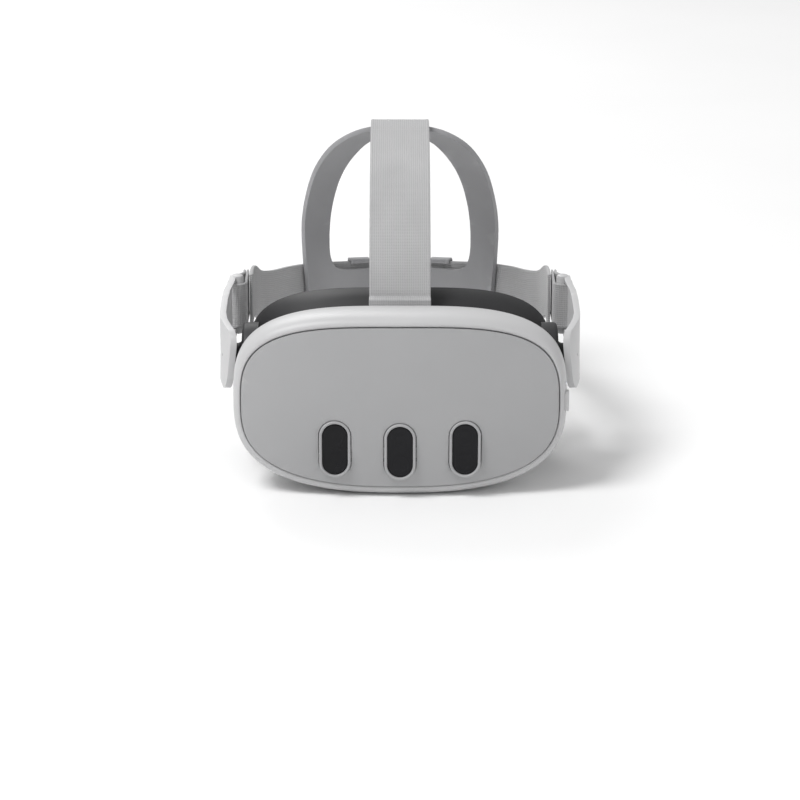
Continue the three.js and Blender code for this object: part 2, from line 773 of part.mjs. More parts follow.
function rearFrame() {
  const back = frameFront + frameThickness;
  const inset = shellInset(back) + visorWall + gap;
  const halfWidth = visorHalfWidth - inset;
  const halfHeight = visorHalfHeight - inset;
  const outline = goggleOutline(halfWidth, halfHeight, visorTopPower, visorBottomPower, outlinePoints);
  let frame = facePrism(new THREE.Shape(outline), [frameFront, back]);
  for (const side of [1, -1]) {
    for (const [, sign] of sides) {
      const x = sign * (railHalfLength - 2);
      const z = side * (railHeight - 0.8);
      frame = joined(frame, block([x - 2.6, x + 2.6], [railY - 2.5, frameFront + 0.5], [z - 1.9, z + 1.9]));
    }
    const bore = [-railHalfLength - gap, railY, side * railHeight];
    frame = cut(frame, rod('x', bore, 2 * (railHalfLength + gap), railRadius + gap, { segments: 12 }));
  }
  const eyeHalf = barrelRadius + slideGap;
  for (const [, sign] of sides) {
    const eye = roundedBox(sign * lensX, 0, eyeHalf + lensTravel, eyeHalf, eyeHalf);
    const [near, far] = tongueSpan;
    const slot = block(
      [sign * (near - slideGap), sign * (far + slideGap)],
      [frameFront - 1, back + 1],
      [-tongueHalfHeight - slideGap, tongueHalfHeight + slideGap],
    );
    frame = cut(frame, facePrism(eye, [frameFront - 10, back + 1], 7), slot);
  }
  for (const side of [1, -1]) {
    const z = side * railHeight;
    const half = railRadius + 1.3 + slideGap;
    for (const [, sign] of sides) {
      const x = sign * lensX;
      const reach = 6 + lensTravel + slideGap;
      frame = cut(frame, block([x - reach, x + reach], [frameFront - 10, frameFront], [z - half, z + half]));
    }
  }
  const screws = screwPlaces.map(([x, z]) => (
    rod('y', [x, frameFront - 1, z], frameThickness + 2, 1 + gap, { segments: 12 })
  ));
  for (const [, sign] of sides) {
    const bossRoom = [sign * (pivotInner - gap), pivotY, pivotHeight];
    frame = cut(frame, rod('x', bossRoom, sign * 20, pivotRadius + gap, { segments: 32 }));
  }
  const sensor = facePrism(roundedBox(0, 18, 4 + gap, 2 + gap, 1), [frameFront - 1, back + 1], 3);
  return cut(frame, ...screws, sensor);
}

function frameScrew([x, z]) {
  const back = frameFront + frameThickness + gap;
  const head = rod('y', [x, back, z], 1.2, 1.9, { segments: 12 });
  const shank = rod('y', [x, back + 0.2, z], -4, 1, { segments: 10 });
  const socket = rod('y', [x, back + 0.6, z], 1, 0.9, { segments: 6 });
  return cut(joined(head, shank), socket);
}

function proximitySensor() {
  return facePrism(roundedBox(0, 18, 4, 2, 1), [frameFront - 1.5, frameFront + frameThickness], 3);
}

// ---- Facial interface ----------------------------------------------------------------------

const interfaceFront = visorDepth + interfaceGap;
// Depth, half width and half height of the frame's outside, from the visor to the cushion.
const interfaceProfile = [
  [interfaceFront, 66, 34],
  [interfaceFront + 7, 67.5, 40],
  [interfaceFront + 11, 70, 42.4],
  [interfaceFront + 16, interfaceHalfWidth - 4, interfaceHalfHeight],
  [interfaceFront + 19.5, interfaceHalfWidth - 1, interfaceHalfHeight],
];
const frameBack = interfaceProfile[interfaceProfile.length - 1][0];

// A ring of the face's outline: bowed back at the temples and cheeks, arched over the nose.
function faceRing(y, halfWidth, halfHeight, wrap) {
  const lowHeight = halfHeight + Math.max(0, -floorHeight - interfaceHalfHeight);
  const outline = goggleOutline(halfWidth, halfHeight, interfacePower, interfacePower, interfacePoints);
  const reach = noseHalfWidth * (0.55 + 0.45 * Math.min(1, wrap + 0.4));
  return outline.map(({ x, y: up }) => {
    let z = up < 0 ? (up * lowHeight) / halfHeight : up;
    const temple = templeWrap * (x / interfaceHalfWidth) ** 2;
    const cheek = up < 0 ? cheekWrap * (-up / halfHeight) * Math.min(1, Math.abs(x) / noseHalfWidth) : 0;
    if (up < 0 && Math.abs(x) < reach) {
      z += noseLift * (0.5 + 0.5 * Math.cos((Math.PI * x) / reach)) * Math.min(1, wrap + 0.35);
    }
    return new THREE.Vector3(x, y + wrap * (temple + cheek), z);
  });
}

function wrapShare(y) {
  return Math.max(0, (y - interfaceFront) / (frameBack - interfaceFront)) ** 1.5;
}

function interfaceFrame() {
  const rings = (inset) => interfaceProfile.map(([y, halfWidth, halfHeight]) => (
    faceRing(y, halfWidth - inset, halfHeight - inset, wrapShare(y))
  ));
  let frame = skinned(rings(0).concat(rings(interfaceWall).reverse()), true);
  frame = cut(frame, block([-90, 90], [interfaceFront - 1, frameBack + 40], [floorHeight - 5, floorHeight]));
  for (const [, sign] of sides) {
    const [near, far] = tongueSpan;
    const tongue = block(
      [sign * near, sign * far],
      [frameFront - 11, interfaceFront + 3],
      [-tongueHalfHeight, tongueHalfHeight],
    );
    const hole = sidePrism(reliefOutline(slideGap), [sign * 60, sign * 90]);
    frame = cut(joined(frame, tongue), hole);
  }
  return frame;
}

// Where the interface's side wall runs, behind its front ring because the temples wrap back.
function reliefOutline(margin) {
  return roundedBox(frameBack + 8.7, 4, 2.4 + margin, 5 + margin, 1.5);
}

function reliefButton(sign) {
  const outer = interfaceHalfWidth - 2.4;
  return sidePrism(reliefOutline(0), [sign * (outer - 4.2), sign * outer], 3);
}

function faceCushion() {
  const front = frameBack + gap;
  const back = front + cushionThickness;
  const [wide, high] = [interfaceHalfWidth - 1, interfaceHalfHeight];
  const section = [
    [front, 0.6], [front + 0.3 * cushionThickness, -0.4], [front + 0.75 * cushionThickness, 1],
    [back, 4], [back, cushionWidth - 3.5], [front + 0.7 * cushionThickness, cushionWidth],
    [front, cushionWidth - 0.5],
  ];
  const rings = section.map(([y, inset]) => faceRing(y, wide - inset, high - inset, 1));
  const cushion = skinned(rings, true);
  return cut(cushion, block([-90, 90], [front - 5, back + 60], [floorHeight - 9, floorHeight + 0.6]));
}

// ---- Pivots and arms -----------------------------------------------------------------------

function armOuterX(y, z) {
  const fade = Math.max(0, Math.min(1, (60 - y) / (60 - armFront)));
  return visorHalfWidth + between(armFlare, y) - armLean * fade * z;
}

// A slab of the arm between two depths under its outer surface, as high as it may ever be.
function armSlab(sign, outerDepth, innerDepth, lastY) {
  const heights = evenShares(-2, postTop + 2, 4);
  const rings = armFlare.filter(([y]) => y <= lastY).map(([y]) => {
    const edge = (depth) => heights.map((z) => new THREE.Vector3(sign * (armOuterX(y, z) - depth), y, z));
    return edge(outerDepth).concat(edge(innerDepth).reverse());
  });
  return skinned(rings, false);
}

function armReach(sign) {
  return [sign * armInside, sign * armOutside];
}

// Side view of the arm, drawn in by a margin.
function armOutline(margin) {
  const shape = new THREE.Shape();
  const backY = postY;
  const round = 8 - margin;
  const front = armFront + margin;
  const low = margin;
  shape.moveTo(backY, postBottom + margin);
  shape.quadraticCurveTo(88, 2 + margin, 62, 1 + low);
  shape.lineTo(front + round, low);
  shape.absarc(front + round, low + round, round, 1.5 * Math.PI, Math.PI, true);
  shape.lineTo(front, 31 - margin - round);
  shape.absarc(front + round, 31 - margin - round, round, Math.PI, Math.PI / 2, true);
  shape.lineTo(80, 35.5 - margin);
  shape.quadraticCurveTo(92, 37 - margin, backY, postTop - margin);
  shape.closePath();
  return shape;
}

const armSplit = armThickness - armCover; // depth of the seam under the outer surface
const coverMargin = 1.2;
const speakerY = 66;
const speakerZ = 17;
const slotFront = postY - 12;

function speakerPocket(margin) {
  const outline = roundedBox(speakerY, speakerZ, speakerLength / 2 + margin, speakerHeight / 2 + margin, 4);
  const deep = armOuterX(speakerY, speakerZ) - armSplit;
  return [outline, deep];
}

function armOuterShell(sign) {
  const slab = armSlab(sign, 0, armSplit - gap, 112);
  const body = slab.intersect(sidePrism(armOutline(0), armReach(sign), 3));
  const slot = block(armReach(sign), [slotFront, postY], [postBottom + slotMargin, postTop - slotMargin]);
  const post = rod('z', [sign * postX, postY, postBottom], postTop - postBottom, postRadius, { segments: 20 });
  const [outline, deep] = speakerPocket(gap);
  const pocket = sidePrism(outline, [sign * (deep - 5), sign * (deep + speakerThickness)]);
  const holeStart = [sign * (spigotTip - spigotDepth), pivotY, pivotHeight];
  const spigotHole = rod('x', holeStart, sign * (spigotDepth + gap), spigotRadius + 2);
  return joined(cut(body, slot, pocket, spigotHole), post);
}

function armInnerCover(sign) {
  const slab = armSlab(sign, armSplit, armThickness, 88);
  const body = slab.intersect(sidePrism(armOutline(coverMargin), armReach(sign), 3));
  const boreStart = [sign * armInside, pivotY, pivotHeight];
  const bore = rod('x', boreStart, sign * (armOutside - armInside), spigotRadius + slideGap);
  const slits = [];
  for (let i = 0; i < 4; i++) {
    const y = speakerY - 9 + i * 6;
    slits.push(sidePrism(pill(y, speakerZ, 0.9, 4), armReach(sign), 3));
  }
  return cut(body, bore, ...slits);
}

function speakerModule(sign) {
  const [outline, deep] = speakerPocket(0);
  return sidePrism(outline, [sign * (deep + gap), sign * (deep + speakerThickness - gap)]);
}

// The boss stops short of the arm's inner face where that face is nearest, at the arm's front.
const bossFace = armOuterX(armFront, pivotHeight + pivotRadius / 3) - armThickness - 2 * gap;
const spigotTip = armOuterX(pivotY, pivotHeight) - armSplit + 0.9;
const spigotDepth = 8;

function pivotBoss(sign) {
  const place = (x) => [sign * x, pivotY, pivotHeight];
  const disc = rod('x', place(pivotInner), sign * (bossFace - 2 - pivotInner), pivotRadius, { segments: 32 });
  const domed = { endRadius: pivotRadius - 2, segments: 32 };
  const dome = rod('x', place(bossFace - 2), sign * 2, pivotRadius, domed);
  const spigot = rod('x', place(bossFace - 1), sign * (spigotTip - bossFace + 1), spigotRadius);
  return joined(disc, dome, spigot);
}

// ---- Straps --------------------------------------------------------------------------------

const loopBottom = postBottom + slotMargin + 0.6;
const loopTop = postTop - slotMargin - 0.6;

// Webbing round the post, sewn together behind it.
function strapLoop(sign) {
  const inner = postRadius + gap + 0.1;
  const outer = inner + loopThickness;
  const [x0, x1] = [postX - outer, postX + outer];
  const shape = new THREE.Shape();
  shape.moveTo(x0, loopBack);
  shape.lineTo(x0, postY);
  shape.absarc(postX, postY, outer, Math.PI, 2 * Math.PI, false);
  shape.lineTo(x1 - 0.6, postY + 6);
  shape.lineTo(x0 + 2 * loopThickness + gap, loopBack - 6);
  shape.lineTo(x0 + 2 * loopThickness + gap, loopBack);
  shape.closePath();
  const hole = new THREE.Path();
  hole.moveTo(postX + inner, postY);
  hole.absarc(postX, postY, inner, 2 * Math.PI, Math.PI, true);
  hole.lineTo(x0 + loopThickness, loopBack - 9);
  hole.closePath();
  shape.holes.push(hole);
  const geometry = extruded(shape, loopTop - loopBottom, 6);
  geometry.translate(0, 0, loopBottom);
  return sign > 0 ? toSolid(geometry) : toSolid(geometry).mirror([1, 0, 0]);
}

const strapX = postX - postRadius - gap - 0.1 - loopThickness - slideGap - strapThickness / 2;

// Half of the strap's centre line, from beside the loop round to the back of the head.
const strapHalf = [
  [strapX, strapFront, (postBottom + postTop) / 2],
  [strapX, 130, 23.6],
  [strapX - 0.3, 148, 19.5],
  [strapX - 2.2, 168, 11.3],
  [70.8, 190, 5.5],
  [63, 210.5, 2],
  [54, 225.8, -0.6],
  [44, 234.8, -2],
  [32, 240.2, -3],
  [20, 245.6, -4],
  [9, 249.8, -4.7],
];
const strapBack = 251;
const strapLow = -5;

function strapCurve() {
  const left = strapHalf.map(([x, y, z]) => new THREE.Vector3(x, y, z));
  const right = strapHalf.slice().reverse().map(([x, y, z]) => new THREE.Vector3(-x, y, z));
  const middle = new THREE.Vector3(0, strapBack, strapLow);
  return new THREE.CatmullRomCurve3([...left, middle, ...right], false, 'centripetal');
}

const mainCurve = strapCurve();

// Directions on the strap at a share of its length: along it, outward, and up across it.
function strapFrame(share) {
  const point = mainCurve.getPointAt(share);
  const along = mainCurve.getTangentAt(share);
  const outward = new THREE.Vector3(along.y, -along.x, 0).normalize();
  if (outward.dot(new THREE.Vector3(point.x, point.y - 150, 0)) < 0) {
    outward.negate();
  }
  const across = new THREE.Vector3().crossVectors(outward, along).normalize();
  if (across.z < 0) {
    across.negate();
  }
  return { point, along, outward, across };
}

// Flat webbing that follows the strap, shifted outward and across it.
function ribbon(shares, height, thickness, outwardShift, acrossShift) {
  const rings = shares.map((share) => {
    const { point, outward, across } = strapFrame(share);
    const corner = (o, a) => point.clone()
      .addScaledVector(outward, outwardShift + (o * thickness) / 2)
      .addScaledVector(across, acrossShift + (a * height) / 2);
    return [corner(1, 1), corner(1, -1), corner(-1, -1), corner(-1, 1)];
  });
  return skinned(rings, false);
}

function evenShares(from, to, steps) {
  return Array.from({ length: steps + 1 }, (_, i) => from + ((to - from) * i) / steps);
}

// Share of the strap's length where its x passes a value.
function shareAtX(x) {
  let [low, high] = [0.2, 0.8];
  for (let i = 0; i < 40; i++) {
    const middle = (low + high) / 2;
    if (mainCurve.getPointAt(middle).x > x) {
      low = middle;
    } else {
      high = middle;
    }
  }
  return low;
}

const strapStations = evenShares(0, 1, 42);

function mainStrap() {
  return ribbon(strapStations, strapHeight, strapThickness, 0, 0);
}

const bandShift = -(strapThickness / 2 + 2 * gap + bandThickness / 2);
const bandLow = -1.2; // the band sits a little below the strap's middle

// Edges of the arch, from the band up over the back of the head to the middle.
const archOuterEdge = [
  [52, 221, -4], [53.6, 220.4, 16.8], [54.1, 217.5, 37.8], [51.5, 212.7, 55.8], [45.8, 202.5, 74.3],
  [36, 193.7, 89.2], [23.4, 191.6, 97.2], [0, 191, 99.8],
];
const archInnerEdge = [
  [36, 234.6, -4], [38, 233.2, 10], [40.2, 230.8, 26], [38.6, 226.2, 46], [33.2, 220.2, 65.9],
  [25.3, 213.5, 80], [16.3, 207, 89.6], [0, 204.5, 92.8],
];
const headCentre = new THREE.Vector3(0, 150, 0);

function archEdge(points) {
  const half = points.map(([x, y, z]) => new THREE.Vector3(x, y, z));
  const mirrored = points.slice(0, -1).reverse().map(([x, y, z]) => new THREE.Vector3(-x, y, z));
  return new THREE.CatmullRomCurve3([...half, ...mirrored], false, 'centripetal');
}

function rearCradle() {
  const outerEdge = archEdge(archOuterEdge);
  const innerEdge = archEdge(archInnerEdge);
  const rings = evenShares(0, 1, 32).map((share) => {
    const a = outerEdge.getPoint(share);
    const b = innerEdge.getPoint(share);
    const along = outerEdge.getTangent(share).add(innerEdge.getTangent(share)).normalize();
    const outward = new THREE.Vector3().crossVectors(b.clone().sub(a), along).normalize();
    if (outward.dot(a.clone().sub(headCentre)) < 0) {
      outward.negate();
    }
    const shift = (p, amount) => p.clone().addScaledVector(outward, amount * archThickness);
    return [shift(a, 0.5), shift(b, 0.5), shift(b, -0.5), shift(a, -0.5)];
  });
  const shares = strapStations.filter((share) => Math.abs(mainCurve.getPointAt(share).x) < bandHalfWidth);
  const band = ribbon(shares, bandHeight, bandThickness, bandShift, bandLow);
  return joined(skinned(rings, false), band);
}

// Clip on the back of the strap whose lips hook over the strap's edges.
function slider(sign) {
  const middle = shareAtX(sign * sliderX);
  const { point, along, outward, across } = strapFrame(middle);
  const inside = strapThickness / 2 + slideGap + 0.5;
  const halfHeight = strapHeight / 2 + slideGap;
  const lip = sliderThickness;
  const lipReach = 1.3;
  const shape = new THREE.Shape();
  shape.moveTo(-inside - 1, halfHeight + lip);
  shape.lineTo(inside + lip, halfHeight + lip);
  shape.lineTo(inside + lip, -halfHeight - lip);
  shape.lineTo(-inside - 1, -halfHeight - lip);
  shape.lineTo(-inside - 1, -halfHeight + lipReach);
  shape.lineTo(-inside, -halfHeight + lipReach);
  shape.lineTo(-inside, -halfHeight);
  shape.lineTo(inside, -halfHeight);
  shape.lineTo(inside, halfHeight);
  shape.lineTo(-inside, halfHeight);
  shape.lineTo(-inside, halfHeight - lipReach);
  shape.lineTo(-inside - 1, halfHeight - lipReach);
  shape.closePath();
  const geometry = extruded(shape, 2 * sliderHalfLength, 1);
  geometry.translate(0, 0, -sliderHalfLength);
  const third = new THREE.Vector3().crossVectors(outward, across);
  geometry.applyMatrix4(new THREE.Matrix4().makeBasis(outward, across, third));
  geometry.translate(point.x, point.y, point.z);
  return toSolid(geometry);
}

// ---- Top strap -----------------------------------------------------------------------------

const anchorY = [36, 43];

// Folded tab on the visor's top whose roof holds the top strap's end, as wide as that strap.
function strapAnchor() {
  const half = topStrapWidth / 2;
  const top = shellHeight(0, anchorY[0], 1) + 4;
  const body = facePrism(roundedBox(0, top - 8, half, 8, 1), anchorY, 3);
  const envelope = skinned(
    shellProfile.map(([y, inset]) => visorRing(y, inset - gap)),
    false,
  );
  const low = shellHeight(0, anchorY[0], 1) - 0.4;
  const tunnelHalf = topStrapWidth / 2 + 0.8;
  const tunnelY = [anchorY[0] + 3, anchorY[1] + 1];
  const tunnel = block([-tunnelHalf, tunnelHalf], tunnelY, [low - 10, top - 1.6]);
  return cut(body, envelope, tunnel);
}

// Centre line of the top strap in the middle plane, from the anchor over the crown to the arch.
const topStrapLine = [
  [41, 42], [44.4, 43], [48, 49], [55, 62.5], [66, 77], [84, 91], [108, 101.8], [136, 108],
  [158, 109], [178, 105.5], [193.5, 100.2], [203, 94.8],
];
const crestY = 140;
const topStrapLift = 1.4; // the rear end lies on the arch

function topStrapCurve() {
  const points = topStrapLine.map(([y, z]) => new THREE.Vector3(0, y, z));
  return new THREE.CatmullRomCurve3(points, false, 'centripetal');
}

function topStrapPiece(from, to, steps) {
  const curve = topStrapCurve();
  const rings = evenShares(from, to, steps).map((share) => {
    const point = curve.getPointAt(share);
    const along = curve.getTangentAt(share);
    const up = new THREE.Vector3(0, -along.z, along.y);
    point.addScaledVector(up, topStrapLift * Math.max(0, (point.y - crestY) / (203 - crestY)) ** 2);
    const corner = (x, n) => point.clone()
      .addScaledVector(up, (n * topStrapThickness) / 2)
      .add(new THREE.Vector3((x * topStrapWidth) / 2, 0, 0));
    return [corner(1, 1), corner(-1, 1), corner(-1, -1), corner(1, -1)];
  });
  return skinned(rings, false);
}

function crestShare() {
  const curve = topStrapCurve();
  return evenShares(0, 1, 200).find((share) => curve.getPointAt(share).y >= crestY);
}

// ---- The assembly --------------------------------------------------------------------------

addPiece('visor_housing', visorHousing(), 'shell');
addPiece('front_plate', frontPlate(), 'plate');
for (const [place, x] of windowPlaces) {
  addPiece(`camera_bezel_${place}`, cameraBezel(x), 'plate');
  addPiece(`camera_window_${place}`, cameraWindow(x), 'glass');
}
addPiece('depth_projector', depthProjector(), 'dark');
addPiece('main_board', mainBoard(), 'board');
addPiece('heat_sink', heatSink(), 'metal');
addPiece('fan_housing', fanHousing(), 'dark');
addPiece('fan_rotor', fanRotor(), 'dark');
addPiece('battery', battery(), 'dark');
addPiece('rear_frame', rearFrame(), 'dark');
addPiece('proximity_sensor', proximitySensor(), 'glass');
screwPlaces.forEach((place, i) => addPiece(`frame_screw_${i + 1}`, frameScrew(place), 'metal'));
addPiece('lens_rail_upper', lensRail(1), 'metal');
addPiece('lens_rail_lower', lensRail(-1), 'metal');
addPiece('ipd_wheel', ipdWheel(), 'dark');
addPiece('power_button', powerButton(), 'shell');
addPiece('volume_rocker', volumeRocker(), 'shell');
addPiece('usb_port', usbPort(), 'metal');
addPiece('audio_jack', audioJack(), 'dark');
addPiece('charging_contacts', chargingContacts(), 'gold');
addPiece('status_led', statusLed(), 'light');
addPiece('strap_anchor', strapAnchor(), 'fabric');
addPiece('interface_frame', interfaceFrame(), 'dark');
addPiece('face_cushion', faceCushion(), 'foam');
addPiece('main_strap', mainStrap(), 'fabric');
addPiece('rear_cradle', rearCradle(), 'rubber');
addPiece('top_strap_front', topStrapPiece(0, crestShare(), 18), 'fabric');
addPiece('top_strap_rear', topStrapPiece(crestShare() + 0.002, 1, 10), 'fabric');
for (const [name, sign] of sides) {
  addPiece(`camera_module_${name}`, cameraModule(sign * windowSpacing), 'dark');
  addPiece(`display_${name}`, displayPanel(sign), 'glass');
  addPiece(`lens_barrel_${name}`, lensBarrel(sign), 'dark');
  addPiece(`eyepiece_${name}`, eyepiece(sign), 'lens');
  addPiece(`relief_button_${name}`, reliefButton(sign), 'shell');
  addPiece(`pivot_boss_${name}`, pivotBoss(sign), 'dark');
  addPiece(`arm_outer_shell_${name}`, armOuterShell(sign), 'shell');
  addPiece(`arm_inner_cover_${name}`, armInnerCover(sign), 'shell');
  addPiece(`speaker_module_${name}`, speakerModule(sign), 'dark');
  addPiece(`strap_loop_${name}`, strapLoop(sign), 'fabric');
  addPiece(`slider_${name}`, slider(sign), 'rubber');
}

const bounds = new THREE.Box3().setFromObject(headset);
headset.position.set(
  -(bounds.min.x + bounds.max.x) / 2,
  -(bounds.min.y + bounds.max.y) / 2,
  -bounds.min.z,
);
headset.updateMatrixWorld(true);

export default headset;
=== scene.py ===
import json
import math

import bmesh
import bpy
import numpy as np
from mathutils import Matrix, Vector


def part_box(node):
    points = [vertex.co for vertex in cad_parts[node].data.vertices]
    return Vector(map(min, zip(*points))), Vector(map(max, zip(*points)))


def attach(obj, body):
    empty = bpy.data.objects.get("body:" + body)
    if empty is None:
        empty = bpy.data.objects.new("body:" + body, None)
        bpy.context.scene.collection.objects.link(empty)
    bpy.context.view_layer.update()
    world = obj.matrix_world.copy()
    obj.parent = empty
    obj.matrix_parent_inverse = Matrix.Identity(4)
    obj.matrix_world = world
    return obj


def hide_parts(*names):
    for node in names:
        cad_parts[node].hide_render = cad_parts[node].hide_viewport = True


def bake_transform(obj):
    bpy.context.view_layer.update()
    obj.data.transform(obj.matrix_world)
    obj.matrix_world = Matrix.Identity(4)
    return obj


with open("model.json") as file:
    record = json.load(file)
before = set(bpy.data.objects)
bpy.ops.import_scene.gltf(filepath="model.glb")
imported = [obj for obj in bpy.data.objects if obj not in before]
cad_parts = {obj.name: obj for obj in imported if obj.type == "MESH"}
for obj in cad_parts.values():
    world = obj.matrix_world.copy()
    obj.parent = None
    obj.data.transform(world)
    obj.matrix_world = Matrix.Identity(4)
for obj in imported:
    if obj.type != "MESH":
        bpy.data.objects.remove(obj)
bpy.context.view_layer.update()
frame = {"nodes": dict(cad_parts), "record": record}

mm = 0.001

# Sizes below are in mm from the crown of the front plate: x to the wearer's left, y back, z up.
plateLow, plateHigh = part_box("front_plate")
crown = Vector((0.0, plateLow.y, (plateLow.z + plateHigh.z) / 2))
floorZ = -crown.z / mm
leftAndRight = (("left", 1), ("right", -1))


def at(x, y, z):
    return Vector((x * mm, y * mm, z * mm)) + crown


def nodeSpan(node):
    low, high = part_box(node)
    return (low - crown) / mm, (high - crown) / mm


def nodeFit(node):
    low, high = nodeSpan(node)
    return low, high, (low + high) / 2, (high - low) / 2


studio = {
    "elevation": 18.0,      # degrees above the horizon
    "distance": 1.5,        # metres from the aim
    "lens": 136.5,          # mm on a 36 mm sensor
    "aimHeight": 4.3,       # mm above the visor's middle
    "sensor": 36.0,         # mm
    "shiftY": 0.0025,
    "worldStrength": 0.5,
    "floorSize": 12.0,      # metres
    "lights": {             # watts, then width and place in metres
        "keyLight": (30.0, 0.9, (-0.95, -0.7, 1.85)),
        "fillLight": (3.0, 1.2, (1.5, -1.1, 0.9)),
        "backLight": (12.0, 1.0, (-0.5, 1.5, 1.4)),
    },
}


def addCamera():
    data = bpy.data.cameras.new("camera")
    data.lens = studio["lens"]
    data.sensor_width = studio["sensor"]
    data.shift_y = studio["shiftY"]
    data.clip_start = 0.02
    camera = bpy.data.objects.new("camera", data)
    lift = math.radians(studio["elevation"])
    away = Vector((0.0, -math.cos(lift), math.sin(lift)))
    camera.location = at(0, 0, studio["aimHeight"]) + away * studio["distance"]
    camera.rotation_euler = (math.pi / 2 - lift, 0.0, 0.0)
    bpy.context.scene.collection.objects.link(camera)
    bpy.context.scene.camera = camera


def addLight(name, power, size, place, target):
    data = bpy.data.lights.new(name, "AREA")
    data.shape = "DISK"
    data.size = size
    data.energy = power
    light = bpy.data.objects.new(name, data)
    light.location = place
    light.rotation_euler = (target - light.location).to_track_quat("-Z", "Y").to_euler()
    bpy.context.scene.collection.objects.link(light)


def addStudio():
    target = at(0, 100, 20)
    for name, (power, size, place) in studio["lights"].items():
        addLight(name, power, size, Vector(place), target)
    world = bpy.data.worlds.new("studioWorld")
    world.use_nodes = True
    background = world.node_tree.nodes["Background"]
    background.inputs["Color"].default_value = (1.0, 1.0, 1.0, 1.0)
    background.inputs["Strength"].default_value = studio["worldStrength"]
    bpy.context.scene.world = world
    bpy.context.scene.view_settings.view_transform = "Standard"
    bpy.ops.mesh.primitive_plane_add(size=studio["floorSize"], location=(0.0, 0.0, 0.0))
    floor = bpy.context.object
    floor.name = "floor"
    material, tree, shader = newMaterial("floorPaint")
    shade = noiseColour(tree, 3.0, (0.90, 0.90, 0.90), (0.93, 0.93, 0.93))
    tree.links.new(shade, shader.inputs["Base Color"])
    shader.inputs["Roughness"].default_value = 0.8
    shader.inputs["Specular IOR Level"].default_value = 0.2
    floor.data.materials.append(material)


def newMaterial(name):
    material = bpy.data.materials.new(name)
    material.use_nodes = True
    tree = material.node_tree
    return material, tree, tree.nodes["Principled BSDF"]


def addNode(tree, kind, settings=None, **values):
    node = tree.nodes.new(kind)
    for key, value in (settings or {}).items():
        setattr(node, key, value)
    for key, value in values.items():
        node.inputs[key.replace("_", " ")].default_value = value
    return node


def surfacePoint(tree, stretch=(1.0, 1.0, 1.0), source="Object"):
    place = addNode(tree, "ShaderNodeTexCoord")
    mapping = addNode(tree, "ShaderNodeMapping", Scale=stretch)
    tree.links.new(place.outputs[source], mapping.inputs["Vector"])
    return mapping.outputs["Vector"]


def noiseValue(tree, scale, detail=3.0, stretch=(1.0, 1.0, 1.0)):
    noise = addNode(tree, "ShaderNodeTexNoise", Scale=scale, Detail=detail)
    tree.links.new(surfacePoint(tree, stretch), noise.inputs["Vector"])
    return noise.outputs["Fac"]


def ramped(tree, value, low, high, start=0.3, end=0.7):
    ramp = addNode(tree, "ShaderNodeValToRGB")
    ramp.color_ramp.elements[0].position = start
    ramp.color_ramp.elements[1].position = end
    ramp.color_ramp.elements[0].color = (*low, 1.0)
    ramp.color_ramp.elements[1].color = (*high, 1.0)
    tree.links.new(value, ramp.inputs["Fac"])
    return ramp.outputs["Color"]


def noiseColour(tree, scale, low, high):
    return ramped(tree, noiseValue(tree, scale), low, high)


def rangeOf(tree, value, low, high):
    mapped = addNode(tree, "ShaderNodeMapRange", To_Min=low, To_Max=high)
    tree.links.new(value, mapped.inputs["Value"])
    return mapped.outputs["Result"]


def calc(tree, operation, a, b):
    node = addNode(tree, "ShaderNodeMath", {"operation": operation})
    for socket, value in ((node.inputs[0], a), (node.inputs[1], b)):
        if isinstance(value, (int, float)):
            socket.default_value = value
        else:
            tree.links.new(value, socket)
    return node.outputs["Value"]


def mixColour(tree, factor, first, second):
    mix = addNode(tree, "ShaderNodeMix", {"data_type": "RGBA"})
    tree.links.new(factor, mix.inputs["Factor"])
    for socket, value in ((mix.inputs[6], first), (mix.inputs[7], second)):
        if isinstance(value, tuple):
            socket.default_value = (*value, 1.0)
        else:
            tree.links.new(value, socket)
    return mix.outputs[2]


def bumped(tree, shader, height, strength, distance):
    bump = addNode(tree, "ShaderNodeBump", Strength=strength, Distance=distance)
    tree.links.new(height, bump.inputs["Height"])
    tree.links.new(bump.outputs["Normal"], shader.inputs["Normal"])


def painted(tree, shader, colour, roughness):
    tree.links.new(colour, shader.inputs["Base Color"])
    tree.links.new(roughness, shader.inputs["Roughness"])


def edgeWear(tree, base, worn, start=0.56, end=0.68):
    point = addNode(tree, "ShaderNodeNewGeometry").outputs["Pointiness"]
    edge = addNode(tree, "ShaderNodeMapRange", From_Min=start, From_Max=end)
    tree.links.new(point, edge.inputs["Value"])
    patchy = calc(tree, "MULTIPLY", edge.outputs["Result"], noiseValue(tree, 260.0))
    return mixColour(tree, patchy, base, worn)


def mouldedPlastic(name, dark, light, worn, roughness, grain, coat=0.0):
    material, tree, shader = newMaterial(name)
    base = noiseColour(tree, 14.0, dark, light)
    smudge = noiseValue(tree, 45.0, 5.0)
    painted(tree, shader, edgeWear(tree, base, worn), rangeOf(tree, smudge, roughness - 0.05, roughness + 0.06))
    bumped(tree, shader, noiseValue(tree, grain, 2.0), 0.10, 0.00008)
    if coat:
        shader.inputs["Coat Weight"].default_value = coat
        shader.inputs["Coat Roughness"].default_value = 0.25
    return material


def tintedWindow():
    material, tree, shader = newMaterial("tintedWindow")
    tint = noiseColour(tree, 30.0, (0.004, 0.004, 0.005), (0.008, 0.008, 0.010))
    painted(tree, shader, tint, rangeOf(tree, noiseValue(tree, 120.0, 4.0), 0.08, 0.17))
    shader.inputs["Specular IOR Level"].default_value = 0.22
    return material


